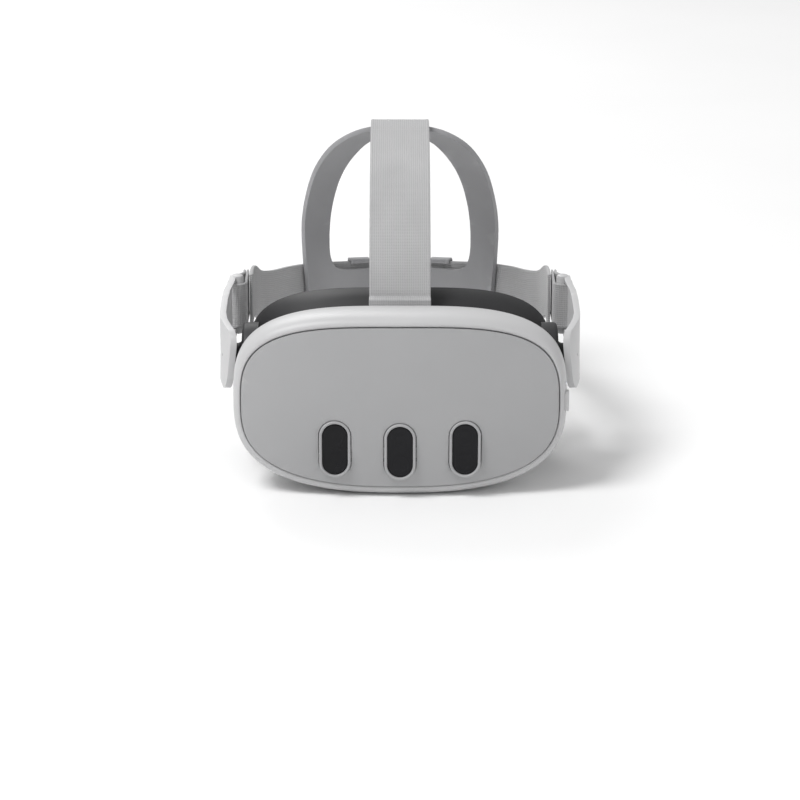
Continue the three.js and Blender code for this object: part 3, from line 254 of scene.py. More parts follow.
def opticalGlass():
    material, tree, shader = newMaterial("opticalGlass")
    tint = noiseColour(tree, 60.0, (0.80, 0.86, 0.85), (0.90, 0.93, 0.95))
    painted(tree, shader, tint, rangeOf(tree, noiseValue(tree, 200.0), 0.01, 0.05))
    shader.inputs["Transmission Weight"].default_value = 0.85
    shader.inputs["IOR"].default_value = 1.49
    shader.inputs["Coat Weight"].default_value = 0.5
    return material


def satinMetal(name, dark, light, roughness):
    material, tree, shader = newMaterial(name)
    tree.links.new(noiseColour(tree, 90.0, dark, light), shader.inputs["Base Color"])
    shader.inputs["Metallic"].default_value = 1.0
    brushed = noiseValue(tree, 900.0, 2.0, (0.1, 1.0, 1.0))
    tree.links.new(rangeOf(tree, brushed, roughness - 0.08, roughness + 0.12), shader.inputs["Roughness"])
    bumped(tree, shader, brushed, 0.12, 0.00005)
    return material


# Elastic webbing: ribs across the strap, fine yarns along it, a flat selvedge at both edges.
def wovenWebbing(name, dark, light, ribs, yarns):
    material, tree, shader = newMaterial(name)
    split = addNode(tree, "ShaderNodeSeparateXYZ")
    tree.links.new(surfacePoint(tree, source="UV"), split.inputs["Vector"])
    across, along = split.outputs["X"], split.outputs["Y"]
    rib = calc(tree, "SINE", calc(tree, "MULTIPLY", along, ribs * math.tau), 0.0)
    shift = calc(tree, "MULTIPLY", rib, 0.35)
    yarn = calc(tree, "SINE", calc(tree, "ADD", calc(tree, "MULTIPLY", across, yarns * math.tau), shift), 0.0)
    weave = calc(tree, "ADD", calc(tree, "MULTIPLY", rib, 0.5), calc(tree, "MULTIPLY", yarn, 0.5))
    fuzz = noiseValue(tree, 1600.0, 4.0)
    height = calc(tree, "ADD", weave, calc(tree, "MULTIPLY", fuzz, 0.5))
    cloudy = noiseColour(tree, 35.0, dark, light)
    # Painted shade: the weave's valleys are coloured darker, down to 0.72 of the dark tone, wherever the weave
    # height is low.
    weaveValleyShade = tuple(channel * 0.72 for channel in dark)
    shaded = mixColour(tree, rangeOf(tree, calc(tree, "ADD", weave, 1.0), -0.1, 1.3), weaveValleyShade, cloudy)
    painted(tree, shader, shaded, rangeOf(tree, fuzz, 0.82, 0.98))
    shader.inputs["Sheen Weight"].default_value = 0.25
    shader.inputs["Sheen Roughness"].default_value = 0.4
    shader.inputs["Specular IOR Level"].default_value = 0.25
    bumped(tree, shader, height, 0.5, 0.00022)
    return material


# Knitted cover over foam, from object coordinates because the pad's mesh is remade.
def knittedFoam():
    material, tree, shader = newMaterial("knittedFoam")
    point = surfacePoint(tree)
    bands = [
        addNode(tree, "ShaderNodeTexWave", {"bands_direction": direction}, Scale=190.0, Distortion=0.6)
        for direction in ("X", "Z")
    ]
    for band in bands:
        tree.links.new(point, band.inputs["Vector"])
    knit = calc(tree, "MULTIPLY", bands[0].outputs["Fac"], bands[1].outputs["Fac"])
    cover = noiseColour(tree, 40.0, (0.009, 0.009, 0.010), (0.016, 0.016, 0.018))
    # Painted highlight and shade: the raised knit loops are coloured lighter and the gaps between them stay
    # darker, following the knit pattern that also drives the bump.
    shaded = mixColour(tree, knit, cover, (0.026, 0.026, 0.028))
    painted(tree, shader, shaded, rangeOf(tree, noiseValue(tree, 700.0), 0.85, 0.98))
    shader.inputs["Sheen Weight"].default_value = 0.1
    shader.inputs["Sheen Roughness"].default_value = 0.5
    shader.inputs["Specular IOR Level"].default_value = 0.2
    bumped(tree, shader, knit, 0.45, 0.0003)
    return material


def softRubber():
    material, tree, shader = newMaterial("softRubber")
    base = noiseColour(tree, 18.0, (0.30, 0.30, 0.31), (0.34, 0.34, 0.35))
    worn = edgeWear(tree, base, (0.40, 0.40, 0.41))
    painted(tree, shader, worn, rangeOf(tree, noiseValue(tree, 60.0, 4.0), 0.62, 0.75))
    shader.inputs["Sheen Weight"].default_value = 0.08
    bumped(tree, shader, noiseValue(tree, 3200.0, 2.0), 0.12, 0.0001)
    return material


def circuitBoard():
    material, tree, shader = newMaterial("circuitBoard")
    traces = addNode(tree, "ShaderNodeTexBrick", Scale=260.0, Mortar_Size=0.06)
    traces.inputs["Color1"].default_value = (0.012, 0.09, 0.045, 1.0)
    traces.inputs["Color2"].default_value = (0.016, 0.12, 0.06, 1.0)
    traces.inputs["Mortar"].default_value = (0.05, 0.22, 0.11, 1.0)
    tree.links.new(surfacePoint(tree), traces.inputs["Vector"])
    painted(tree, shader, traces.outputs["Color"], rangeOf(tree, noiseValue(tree, 300.0), 0.3, 0.5))
    bumped(tree, shader, traces.outputs["Fac"], 0.2, 0.0001)
    return material


finishes = {
    "shell": mouldedPlastic(
        "shellPlastic", (0.49, 0.49, 0.495), (0.52, 0.52, 0.525), (0.60, 0.60, 0.60), 0.42, 2600.0,
    ),
    "plate": mouldedPlastic(
        "platePlastic", (0.365, 0.366, 0.372), (0.385, 0.386, 0.392), (0.45, 0.45, 0.45), 0.38, 3000.0,
    ),
    "dark_plastic": mouldedPlastic(
        "mattBlackPlastic", (0.012, 0.012, 0.013), (0.019, 0.019, 0.021), (0.05, 0.05, 0.05), 0.55, 2200.0,
    ),
    "window_glass": tintedWindow(),
    "lens_glass": opticalGlass(),
    "bare_metal": satinMetal("satinMetal", (0.55, 0.56, 0.58), (0.66, 0.67, 0.69), 0.36),
    "contact_gold": satinMetal("platedGold", (0.72, 0.50, 0.20), (0.82, 0.60, 0.27), 0.28),
    "circuit_board": circuitBoard(),
    "foam": knittedFoam(),
    "webbing": wovenWebbing("elasticWebbing", (0.42, 0.42, 0.425), (0.47, 0.47, 0.475), 1250.0, 900.0),
    "soft_rubber": softRubber(),
    "led": mouldedPlastic(
        "lightPipe", (0.75, 0.78, 0.84), (0.85, 0.87, 0.92), (0.9, 0.9, 0.9), 0.25, 1500.0, 0.4,
    ),
}

print("stage: materials made")


def newPiece(name, points, faces, uvs=None):
    mesh = bpy.data.meshes.new(name)
    mesh.from_pydata([tuple(at(*point)) for point in points], [], faces)
    mesh.validate()
    if uvs:
        layer = mesh.uv_layers.new(name="UVMap")
        for loop in mesh.loops:
            layer.data[loop.index].uv = uvs[loop.vertex_index]
    piece = bpy.data.objects.new(name, mesh)
    bpy.context.scene.collection.objects.link(piece)
    return piece


# Skin through rings of equal count. A looped list closes on itself, any other gets two caps.
def skinRings(name, rings, looped=False, uvs=None):
    count = len(rings[0])
    points = [point for ring in rings for point in ring]
    faces = []
    for row in range(len(rings) if looped else len(rings) - 1):
        start, after = row * count, (row + 1) % len(rings) * count
        for i in range(count):
            j = (i + 1) % count
            faces.append((start + i, start + j, after + j, after + i))
    if not looped:
        faces.append(tuple(reversed(range(count))))
        faces.append(tuple(range(len(points) - count, len(points))))
    piece = newPiece(name, points, faces, uvs)
    outward(piece)
    return piece


def outward(piece):
    bm = bmesh.new()
    bm.from_mesh(piece.data)
    bmesh.ops.recalc_face_normals(bm, faces=bm.faces[:])
    bm.to_mesh(piece.data)
    bm.free()


def settle(piece):
    graph = bpy.context.evaluated_depsgraph_get()
    mesh = bpy.data.meshes.new_from_object(piece.evaluated_get(graph))
    piece.modifiers.clear()
    piece.data = mesh


def carve(piece, cutters, operation="DIFFERENCE"):
    for cutter in cutters:
        change = piece.modifiers.new("carve", "BOOLEAN")
        change.operation = operation
        change.solver = "EXACT"
        change.object = cutter
    settle(piece)
    for cutter in cutters:
        bpy.data.objects.remove(cutter)


def bevelEdges(piece, width, segments, angle=40.0):
    bevel = piece.modifiers.new("bevel", "BEVEL")
    bevel.width = width
    bevel.segments = segments
    bevel.limit_method = "ANGLE"
    bevel.angle_limit = math.radians(angle)
    settle(piece)


def smoothBy(piece, angle=35.0):
    piece.data.shade_smooth()
    piece.data.set_sharp_from_angle(angle=math.radians(angle))


def dress(piece, body, slot, *nodes, angle=35.0):
    smoothBy(piece, angle)
    piece.data.materials.clear()
    piece.data.materials.append(finishes[slot])
    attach(piece, body)
    if nodes:
        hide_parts(*nodes)
    return piece


# Where an outline point u, v at depth w lies, by the axis that the depth runs along.
axisOrder = {
    "x": lambda u, v, w: (w, u, v),
    "y": lambda u, v, w: (u, w, v),
    "z": lambda u, v, w: (u, v, w),
}


# Outline points u, v extruded along an axis of the frame, from low to high.
def prism(name, outline, axis, low, high):
    order = axisOrder[axis]
    rings = [[order(u, v, w) for u, v in outline] for w in (low, high)]
    return skinRings(name, rings)


def roundRod(name, axis, centre, radius, low, high, count=48):
    turn = [math.tau * i / count for i in range(count)]
    outline = [(centre[0] + radius * math.cos(a), centre[1] + radius * math.sin(a)) for a in turn]
    return prism(name, outline, axis, low, high)


def pillLoop(centreU, centreV, halfU, halfV, count=48):
    radius = min(halfU, halfV)
    flatU, flatV = halfU - radius, halfV - radius
    loop = []
    for i in range(count):
        angle = math.tau * (i + 0.5) / count
        c, s = math.cos(angle), math.sin(angle)
        loop.append((
            centreU + radius * c + math.copysign(flatU, c),
            centreV + radius * s + math.copysign(flatV, s),
        ))
    return loop


def boxLoop(centreU, centreV, halfU, halfV, radius, count=10):
    loop = []
    corners = ((1, 1, 0), (-1, 1, 1), (-1, -1, 2), (1, -1, 3))
    for signU, signV, quarter in corners:
        for i in range(count + 1):
            angle = (quarter + i / count) * math.pi / 2
            loop.append((
                centreU + signU * (halfU - radius) + radius * math.cos(angle),
                centreV + signV * (halfV - radius) + radius * math.sin(angle),
            ))
    return loop


# Rings of one outline family: each entry is (margin round the outline, depth along the axis).
def turnedPill(name, axis, centreU, centreV, halfU, halfV, steps, looped=False, count=64):
    order = axisOrder[axis]
    rings = []
    for margin, depth in steps:
        loop = pillLoop(centreU, centreV, halfU + margin, halfV + margin, count)
        rings.append([order(u, v, depth) for u, v in loop])
    return skinRings(name, rings, looped)


# A round body turned about an axis through centre: each step is (radius, depth).
def turned(name, axis, centreU, centreV, steps, count=64, looped=False):
    order = axisOrder[axis]
    rings = []
    for radius, depth in steps:
        rings.append([
            order(
                centreU + radius * math.cos(math.tau * i / count),
                centreV + radius * math.sin(math.tau * i / count),
                depth,
            )
            for i in range(count)
        ])
    return skinRings(name, rings, looped)


def between(table, value):
    return float(np.interp(value, [row[0] for row in table], [row[1] for row in table]))


# Smooth line through points, centripetal so that it never overshoots.
def smoothLine(points, perSpan):
    knots = [np.array(point, float) for point in points]
    knots = [2 * knots[0] - knots[1]] + knots + [2 * knots[-1] - knots[-2]]
    line = []
    for i in range(1, len(knots) - 2):
        p0, p1, p2, p3 = knots[i - 1:i + 3]
        t1 = np.linalg.norm(p1 - p0) ** 0.5
        t2 = t1 + np.linalg.norm(p2 - p1) ** 0.5
        t3 = t2 + np.linalg.norm(p3 - p2) ** 0.5
        for k in range(perSpan):
            t = t1 + (t2 - t1) * k / perSpan
            a1 = (t1 - t) / t1 * p0 + t / t1 * p1
            a2 = (t2 - t) / (t2 - t1) * p1 + (t - t1) / (t2 - t1) * p2
            a3 = (t3 - t) / (t3 - t2) * p2 + (t - t2) / (t3 - t2) * p3
            b1 = (t2 - t) / t2 * a1 + t / t2 * a2
            b2 = (t3 - t) / (t3 - t1) * a2 + (t - t1) / (t3 - t1) * a3
            line.append((t2 - t) / (t2 - t1) * b1 + (t - t1) / (t2 - t1) * b2)
    line.append(knots[-2])
    return line


def goggleOutline(halfWidth, halfHeight, topPower, bottomPower, count):
    angle = np.linspace(0, math.tau, 2881) + math.pi / 2
    c, s = np.cos(angle), np.sin(angle)
    power = np.where(s >= 0, topPower, bottomPower)
    reach = (np.abs(c) ** power + np.abs(s) ** power) ** (-1 / power)
    x, z = halfWidth * reach * c, halfHeight * reach * s
    length = np.concatenate([[0], np.cumsum(np.hypot(np.diff(x), np.diff(z)))])
    want = np.arange(count) / count * length[-1]
    return list(zip(np.interp(want, length, x), np.interp(want, length, z)))


visor = {
    "halfWidth": 83.5,
    "halfHeight": 47.3,
    "topPower": 3.2,
    "bottomPower": 2.75,
    "depth": 48.0,
    "wall": 2.2,
    "rimSide": 4.0,
    "rimTop": 5.8,
    "plateThickness": 3.2,
    "bow": 8.0,
    "crownBow": 3.0,
    "points": 200,
}
plateHalf = (visor["halfWidth"] - visor["rimSide"] - 0.4, visor["halfHeight"] - visor["rimTop"] - 0.4)


def frontBow(x, z):
    return visor["bow"] * (x / plateHalf[0]) ** 2 + visor["crownBow"] * (z / plateHalf[1]) ** 2


def bowed(x, y, z):
    return (x, y + frontBow(x, z) * max(0.0, 1 - y / visor["depth"]), z)


def visorRing(y, insetSide, insetTop=None):
    insetTop = insetSide if insetTop is None else insetTop
    outline = goggleOutline(
        visor["halfWidth"] - insetSide, visor["halfHeight"] - insetTop,
        visor["topPower"], visor["bottomPower"], visor["points"],
    )
    return [bowed(x, y, z) for x, z in outline]


# Shares of the rim's width with depth, from the groove's floor out to the widest ring.
rimProfile = [
    (3.8, 1.0), (1.7, 1.0), (1.25, 0.985), (0.95, 0.95), (0.72, 0.88), (0.66, 0.78), (0.86, 0.66),
    (1.35, 0.53), (2.1, 0.40), (3.1, 0.29), (4.5, 0.19), (6.3, 0.11), (8.5, 0.05), (11.0, 0.015), (14.0, 0.0),
]
shellProfile = [
    (17.0, 0.15), (20.0, 0.5), (24.0, 1.15), (28.0, 2.0), (32.5, 3.3), (37.0, 5.0), (40.7, 6.9), (44.0, 9.0),
    (46.2, 11.0), (47.4, 12.5), (48.0, 13.8), (47.8, 14.8), (46.6, 15.2),
]


def buildHousing():
    side, top, wall = visor["rimSide"], visor["rimTop"], visor["wall"]
    rings = [visorRing(y, side * share, top * share) for y, share in rimProfile]
    rings += [visorRing(y, inset) for y, inset in shellProfile]
    inner = [(44.0, 9.0 + wall), (37.0, 5.0 + wall), (28.0, 2.0 + wall), (16.0, wall + 0.2), (8.2, wall)]
    rings += [visorRing(y, inset) for y, inset in inner]
    rings += [visorRing(y, side + 1.8, top + 1.8) for y in (6.0, 3.8)]
    housing = skinRings("visorShell", rings, looped=True)
    carve(housing, housingCutters())
    dress(housing, "visor", "shell", "visor_housing", angle=32.0)


def housingCutters():
    wide = visor["halfWidth"] + 5
    cutters = [prism("cutFloor", boxLoop(0, 24, wide, 30, 1.0), "z", floorZ - 6, floorZ)]
    for _, sign in leftAndRight:
        low, high = sorted((sign * 69.5, sign * 92.0))
        cutters.append(roundRod("cutPivot", "x", (45.0, 15.0), 16.8, low, high, 64))
    for node, clear in (("power_button", 0.3), ("usb_port", 0.2)):
        _, _, middle, half = nodeFit(node)
        loop = pillLoop(middle.y, middle.z, half.y + clear, half.z + clear)
        cutters.append(prism("cutSide", loop, "x", 75.0, wide))
    for node, low, high in (("audio_jack", -wide, -75.0), ("status_led", 75.0, wide)):
        _, _, middle, half = nodeFit(node)
        cutters.append(roundRod("cutRound", "x", (middle.y, middle.z), half.y + 0.15, low, high))
    for node in ("volume_rocker", "charging_contacts"):
        _, _, middle, half = nodeFit(node)
        loop = pillLoop(middle.x, middle.y, half.x + 0.3, half.y + 0.3)
        cutters.append(prism("cutUnder", loop, "z", floorZ - 5, floorZ + 8))
    wheelLow, _, middle, _ = nodeFit("ipd_wheel")
    slot = boxLoop(middle.x, wheelLow.y + 2.5, 10.8, 2.9, 1.2)
    cutters.append(prism("cutWheel", slot, "z", floorZ - 5, middle.z - 4))
    return cutters


def buildPlate():
    outline = goggleOutline(*plateHalf, visor["topPower"], visor["bottomPower"], visor["points"])
    loops = [outline]
    for place in ("left", "centre", "right"):
        _, _, middle, half = nodeFit(f"camera_window_{place}")
        loops.append(pillLoop(middle.x, middle.z, half.x + 2.0, half.z + 2.0, 64))

    def bend(x, z, w):
        return bowed(x, w, z)

    plate = platePiece("frontPlate", loops, visor["plateThickness"], 0.6, 5.0, bend)
    dress(plate, "visor", "plate", "front_plate", angle=30.0)


window = {
    "rimWidth": 1.65,
    "proud": 1.5,
    "recess": 0.75,
    "lensRadius": 4.1,
}


def buildWindows():
    for place in ("left", "centre", "right"):
        _, _, middle, half = nodeFit(f"camera_window_{place}")
        surface = frontBow(middle.x, middle.z)
        face = surface - window["proud"]
        rim = window["rimWidth"]
        steps = [
            (rim, surface + 4.0), (rim, surface + 0.4), (rim - 0.03, face + 0.75), (rim - 0.12, face + 0.38),
            (rim - 0.32, face + 0.12), (rim - 0.62, face), (rim - 0.95, face + 0.03), (0.42, face + 0.14),
            (0.24, face + 0.30), (0.16, face + 0.6), (0.14, face + 2.6), (0.14, surface + 4.0),
        ]
        bezel = turnedPill(f"windowBezel_{place}", "y", middle.x, middle.z, half.x, half.z, steps, True, 96)
        dress(bezel, "visor", "plate", f"camera_bezel_{place}", angle=50.0)
        glassFace = face + window["recess"]
        glass = [
            (-3.0, glassFace - 0.10), (-1.4, glassFace - 0.08), (-0.6, glassFace - 0.03),
            (-0.15, glassFace + 0.06), (0.08, glassFace + 0.25), (0.08, glassFace + 1.2),
        ]
        pane = turnedPill(f"windowPane_{place}", "y", middle.x, middle.z, half.x, half.z, glass, False, 96)
        dress(pane, "visor", "window_glass", f"camera_window_{place}", angle=50.0)
        buildWindowEyes(place, middle, glassFace)


# Lens rings on the pane: two round eyes on each window, one of them smaller in the middle.
def buildWindowEyes(place, middle, glassFace):
    radius = window["lensRadius"]
    for k, offset in enumerate((6.2, -6.2)):
        size = radius if place != "centre" or k else radius * 0.75
        steps = [
            (size + 0.5, glassFace - 0.02), (size + 0.5, glassFace - 0.17), (size + 0.1, glassFace - 0.22),
            (size - 0.3, glassFace - 0.12), (size * 0.72, glassFace - 0.14), (size * 0.4, glassFace - 0.22),
            (0.15, glassFace - 0.26),
        ]
        eye = turned(f"windowEye_{place}_{k + 1}", "y", middle.x, middle.z + offset, steps, 56)
        dress(eye, "visor", "window_glass", angle=50.0)


controls = {"buttonEdge": 0.5, "rockerEdge": 0.45, "wheelRidges": 44, "wheelThickness": 5.0}


def buildControls():
    _, high, middle, half = nodeFit("power_button")
    edge = controls["buttonEdge"]
    steps = [
        (0.0, high.x - 3.0), (0.0, high.x - edge), (-0.12, high.x - 0.2), (-0.4, high.x - 0.03),
        (-0.9, high.x), (-1.6, high.x - 0.12),
    ]
    button = turnedPill("powerButton", "x", middle.y, middle.z, half.y, half.z, steps)
    dress(button, "power_button", "shell", "power_button", angle=60.0)
    low, _, middle, half = nodeFit("volume_rocker")
    edge = controls["rockerEdge"]
    steps = [
        (0.0, low.z + 3.0), (0.0, low.z + edge), (-0.12, low.z + 0.2), (-0.4, low.z + 0.03),
        (-0.9, low.z), (-1.7, low.z + 0.1),
    ]
    rocker = turnedPill("volumeRocker", "z", middle.x, middle.y, half.x, half.y, steps)
    dress(rocker, "volume_rocker", "shell", "volume_rocker", angle=60.0)
    buildWheel()


def buildWheel():
    low, high = nodeSpan("ipd_wheel")
    middleX, middleZ = (low.x + high.x) / 2, (low.z + high.z) / 2
    radius = (high.x - low.x) / 2
    ridges, thick = controls["wheelRidges"], controls["wheelThickness"]
    count = ridges * 6
    steps = [
        (0.86, 0.0, 0), (0.97, 0.1, 0), (1.0, 0.6, 1),
        (1.0, thick - 0.6, 1), (0.97, thick - 0.1, 0), (0.86, thick, 0),
    ]
    rings = []
    for share, depth, ridged in steps:
        ring = []
        for i in range(count):
            angle = math.tau * i / count
            dip = 0.32 * ridged * (0.5 - 0.5 * math.cos(ridges * angle))
            reach = radius * share - dip
            ring.append((middleX + reach * math.cos(angle), low.y + depth, middleZ + reach * math.sin(angle)))
        rings.append(ring)
    wheel = skinRings("eyeDistanceWheel", rings)
    shaftSteps = [(1.6, low.y + thick - 0.5), (1.6, high.y - 2.7)]
    pinionSteps = [(2.6, high.y - 2.8), (2.9, high.y - 2.6), (2.9, high.y - 0.2), (2.6, high.y)]
    shaft = turned("wheelShaft", "y", middleX, middleZ, shaftSteps, 24)
    pinion = turned("wheelPinion", "y", middleX, middleZ, pinionSteps, 32)
    carve(wheel, [shaft, pinion], "UNION")
    dress(wheel, "ipd_wheel", "dark_plastic", "ipd_wheel", angle=40.0)


arm = {
    "front": 30.0,
    "thickness": 5.2,
    "cover": 1.7,
    "lean": 0.11,
    "widths": [
        (24, 86.2), (30, 87.8), (38, 89.7), (45, 91.0), (52, 91.9), (60, 92.0),
        (70, 92.0), (78, 91.95), (88, 91.4), (98, 89.4), (112, 88.0),
    ],
    "postRadius": 3.3,
    "post": (85.2, 104.0),
    "dotRadius": 0.8,
    "postSpan": (9.0, 40.5),
    "slot": (92.0, 101.5, 12.0, 37.5),
}
pivot = {"y": 45.0, "z": 15.0, "radius": 16.5, "spigot": 6.0}


def armOuterX(y, z):
    fade = min(1.0, max(0.0, (60 - y) / (60 - arm["front"])))
    return between(arm["widths"], y) - arm["lean"] * fade * z


def quadratic(a, b, c, count):
    return [
        tuple((1 - t) ** 2 * p + 2 * t * (1 - t) * q + t * t * r for p, q, r in zip(a, b, c))
        for t in (i / count for i in range(count))
    ]


def armLoop(margin, back):
    low, high = arm["postSpan"]
    radius = 8 - margin
    front, top = arm["front"] + margin, 31 - margin
    loop = quadratic((back, low + margin), (88, 2 + margin), (62, 1 + margin), 16)
    loop += quadratic((62, 1 + margin), (50, margin), (front + radius, margin), 6)
    turn = [math.radians(90 * i / 10) for i in range(11)]
    loop += [(front + radius - radius * math.sin(a), margin + radius - radius * math.cos(a)) for a in turn]
    loop += [(front + radius - radius * math.cos(a), top - radius + radius * math.sin(a)) for a in turn]
    loop += quadratic((front + radius + 1, top + 0.05), (60, top + 1.6), (80, 35.5 - margin), 8)
    loop += quadratic((80, 35.5 - margin), (92, 37 - margin), (back, high - margin), 12)
    loop.append((back, high - margin))
    return loop


# Flat outline with holes, cut into a fine grid, thickened, its edges rounded, then bent by a rule.
def platePiece(name, loops, thickness, edge, step, bend, segments=3):
    bm = bmesh.new()
    edges = []
    for loop in loops:
        corners = [bm.verts.new((u, v, 0.0)) for u, v in loop]
        edges += [bm.edges.new((corners[i], corners[(i + 1) % len(corners)])) for i in range(len(corners))]
    bmesh.ops.triangle_fill(bm, edges=edges, use_beauty=True)
    for axis in (0, 1):
        low = min(v.co[axis] for v in bm.verts)
        high = max(v.co[axis] for v in bm.verts)
        cut = (math.floor(low / step) + 1) * step
        while cut < high - 0.2:
            where, across = Vector((0.0, 0.0, 0.0)), Vector((0.0, 0.0, 0.0))
            where[axis], across[axis] = cut, 1.0
            whole = bm.verts[:] + bm.edges[:] + bm.faces[:]
            bmesh.ops.bisect_plane(bm, geom=whole, plane_co=where, plane_no=across, dist=0.02)
            cut += step
    bmesh.ops.recalc_face_normals(bm, faces=bm.faces[:])
    bottom = bm.faces[:]
    grown = bmesh.ops.extrude_face_region(bm, geom=bottom)
    for item in grown["geom"]:
        if isinstance(item, bmesh.types.BMVert):
            item.co.z += thickness
    bmesh.ops.recalc_face_normals(bm, faces=bm.faces[:])
    mesh = bpy.data.meshes.new(name)
    bm.to_mesh(mesh)
    bm.free()
    piece = bpy.data.objects.new(name, mesh)
    bpy.context.scene.collection.objects.link(piece)
    bevelEdges(piece, edge, segments, 60.0)
    for vertex in piece.data.vertices:
        u, v, w = vertex.co
        vertex.co = at(*bend(u, v, w))
    outward(piece)
    return piece


def slotLoop():
    y0, y1, z0, z1 = arm["slot"]
    return boxLoop((y0 + y1) / 2, (z0 + z1) / 2, (y1 - y0) / 2, (z1 - z0) / 2, 2.5)


def buildArms():
    split = arm["thickness"] - arm["cover"]
    for name, sign in leftAndRight:
        def outerBend(y, z, w):
            return (sign * (armOuterX(y, z) - w), y, z)

        def innerBend(y, z, w):
            return (sign * (armOuterX(y, z) - split - w), y, z)

        loops = [armLoop(0.0, 103.0), slotLoop()]
        shell = platePiece(f"armShell_{name}", loops, split - 0.28, 1.25, 4.0, outerBend, 4)
        low, high = arm["postSpan"]
        centreX, centreY = arm["post"]
        radius = arm["postRadius"]
        steps = [
            (radius - 1.4, low - 0.2), (radius - 0.4, low + 0.25), (radius, low + 1.2), (radius, high - 1.2),
            (radius - 0.4, high - 0.25), (radius - 1.4, high + 0.2),
        ]
        post = turned(f"armPost_{name}", "z", sign * centreX, centreY, steps, 40)
        carve(shell, [post], "UNION")
        dotX = armOuterX(pivot["y"], pivot["z"])
        low, high = sorted((sign * (dotX - 1.2), sign * (dotX + 2)))
        carve(shell, [roundRod("cutDot", "x", (pivot["y"], pivot["z"]), arm["dotRadius"], low, high, 24)])
        dress(shell, "head_strap", "shell", f"arm_outer_shell_{name}", angle=38.0)
        cover = platePiece(f"armCover_{name}", [armLoop(0.55, 90.0)], arm["cover"], 0.7, 4.0, innerBend, 3)
        cutters = [roundRod("cutBore", "x", (pivot["y"], pivot["z"]), pivot["spigot"] + 0.35, -120.0, 120.0)]
        for i in range(6):
            loop = pillLoop(56.0 + 4.0 * i, 17.0, 0.8, 4.6 - 0.35 * abs(i - 2.5), 20)
            cutters.append(prism("cutSound", loop, "x", -120.0, 120.0))
        carve(cover, cutters)
        dress(cover, "head_strap", "shell", f"arm_inner_cover_{name}", angle=38.0)
        buildPivot(name, sign)


def buildPivot(name, sign):
    low, high = nodeSpan(f"pivot_boss_{name}")
    inner, tip = sorted((abs(low.x), abs(high.x)))
    radius, spigot = pivot["radius"], pivot["spigot"]
    face = armOuterX(arm["front"], pivot["z"] + radius / 3) - arm["thickness"] - 0.6
    steps = [
        (radius, inner), (radius, face - 2.2), (radius - 0.15, face - 1.4), (radius - 0.6, face - 0.7),
        (radius - 1.4, face - 0.2), (radius - 2.6, face), (spigot + 2.6, face), (spigot + 1.4, face + 0.3),
        (spigot + 0.5, face + 1.0), (spigot, face + 2.0), (spigot, tip - 0.4), (spigot - 0.4, tip),
    ]
    boss = turned(f"pivotBoss_{name}", "x", pivot["y"], pivot["z"], [(r, sign * d) for r, d in steps], 72)
    dress(boss, "visor", "dark_plastic", f"pivot_boss_{name}", angle=50.0)


face = {
    "halfWidth": 80.0,
    "halfHeight": 43.5,
    "power": 3.0,
    "front": 50.2,
    "points": 200,
    "temple": 14.0,
    "cheek": 5.0,
    "noseHalfWidth": 27.0,
    "noseLift": 31.0,
    "cushionWidth": 11.0,
    "cushionThickness": 10.0,
}
faceBack = face["front"] + 19.5


def faceRing(y, halfWidth, halfHeight, wrap):
    lowHeight = halfHeight + max(0.0, -floorZ - face["halfHeight"])
    reach = face["noseHalfWidth"] * (0.55 + 0.45 * min(1.0, wrap + 0.4))
    ring = []
    for x, up in goggleOutline(halfWidth, halfHeight, face["power"], face["power"], face["points"]):
        z = up * lowHeight / halfHeight if up < 0 else up
        temple = face["temple"] * (x / face["halfWidth"]) ** 2
        cheek = face["cheek"] * -up / halfHeight * min(1.0, abs(x) / face["noseHalfWidth"]) if up < 0 else 0.0
        if up < 0 and abs(x) < reach:
            z += face["noseLift"] * (0.5 + 0.5 * math.cos(math.pi * x / reach)) * min(1.0, wrap + 0.35)
        ring.append((x, y + wrap * (temple + cheek), max(z, floorZ + 0.02)))
    return ring


def buildInterfaceFrame():
    front = face["front"]
    profile = [
        (front, 66, 34), (front + 3.5, 66.6, 37.4), (front + 7, 67.6, 40), (front + 9, 68.6, 41.4),
        (front + 11, 70.1, 42.4), (front + 13.5, 73.2, 43.1), (front + 16, 76, 43.5), (front + 18, 78, 43.5),
        (faceBack - 0.3, 79, 43.5), (faceBack, 78.7, 43.2),
    ]

    def rings(inset):
        return [
            faceRing(y, w - inset, h - inset, max(0.0, (y - front) / (faceBack - front)) ** 1.5)
            for y, w, h in profile
        ]

    shell = skinRings("interfaceFrame", rings(0.0) + rings(2.0)[::-1], looped=True)
    _, _, middle, half = nodeFit("relief_button_left")
    loop = boxLoop(middle.y, middle.z, half.y + 0.35, half.z + 0.35, 1.6)
    tongues = [
        prism("tongue", boxLoop(sign * 63.0, 0.0, 1.6, 4.0, 0.8), "y", 32.4, front + 2.5)
        for _, sign in leftAndRight
    ]
    carve(shell, tongues, "UNION")
    carve(shell, [prism("cutRelief", loop, "x", *span) for span in ((60, 95), (-95, -60))])
    dress(shell, "facial_interface", "dark_plastic", "interface_frame", angle=34.0)
    for name, sign in leftAndRight:
        low, high, middle, half = nodeFit(f"relief_button_{name}")
        inner, outer = sorted((abs(low.x), abs(high.x)))
        steps = [(-0.5, inner), (0.0, inner + 0.5), (0.0, outer - 0.5), (-0.15, outer - 0.15), (-0.5, outer)]
        steps = [(margin, sign * depth) for margin, depth in steps]
        button = turnedPill(f"reliefButton_{name}", "x", middle.y, middle.z, half.y, half.z, steps)
        dress(button, "relief_button_" + name, "shell", f"relief_button_{name}", angle=50.0)


# The pad: a slightly smaller ring is run as cloth under pressure, held to a cap, and smoothed.
# At these sizes the cloth moves it by less than 0.2 mm, so its form is the section drawn below.
cushion = {"start": 0.8, "voxel": 4.0, "pressure": 4.0, "frames": 20, "cap": 5.0}


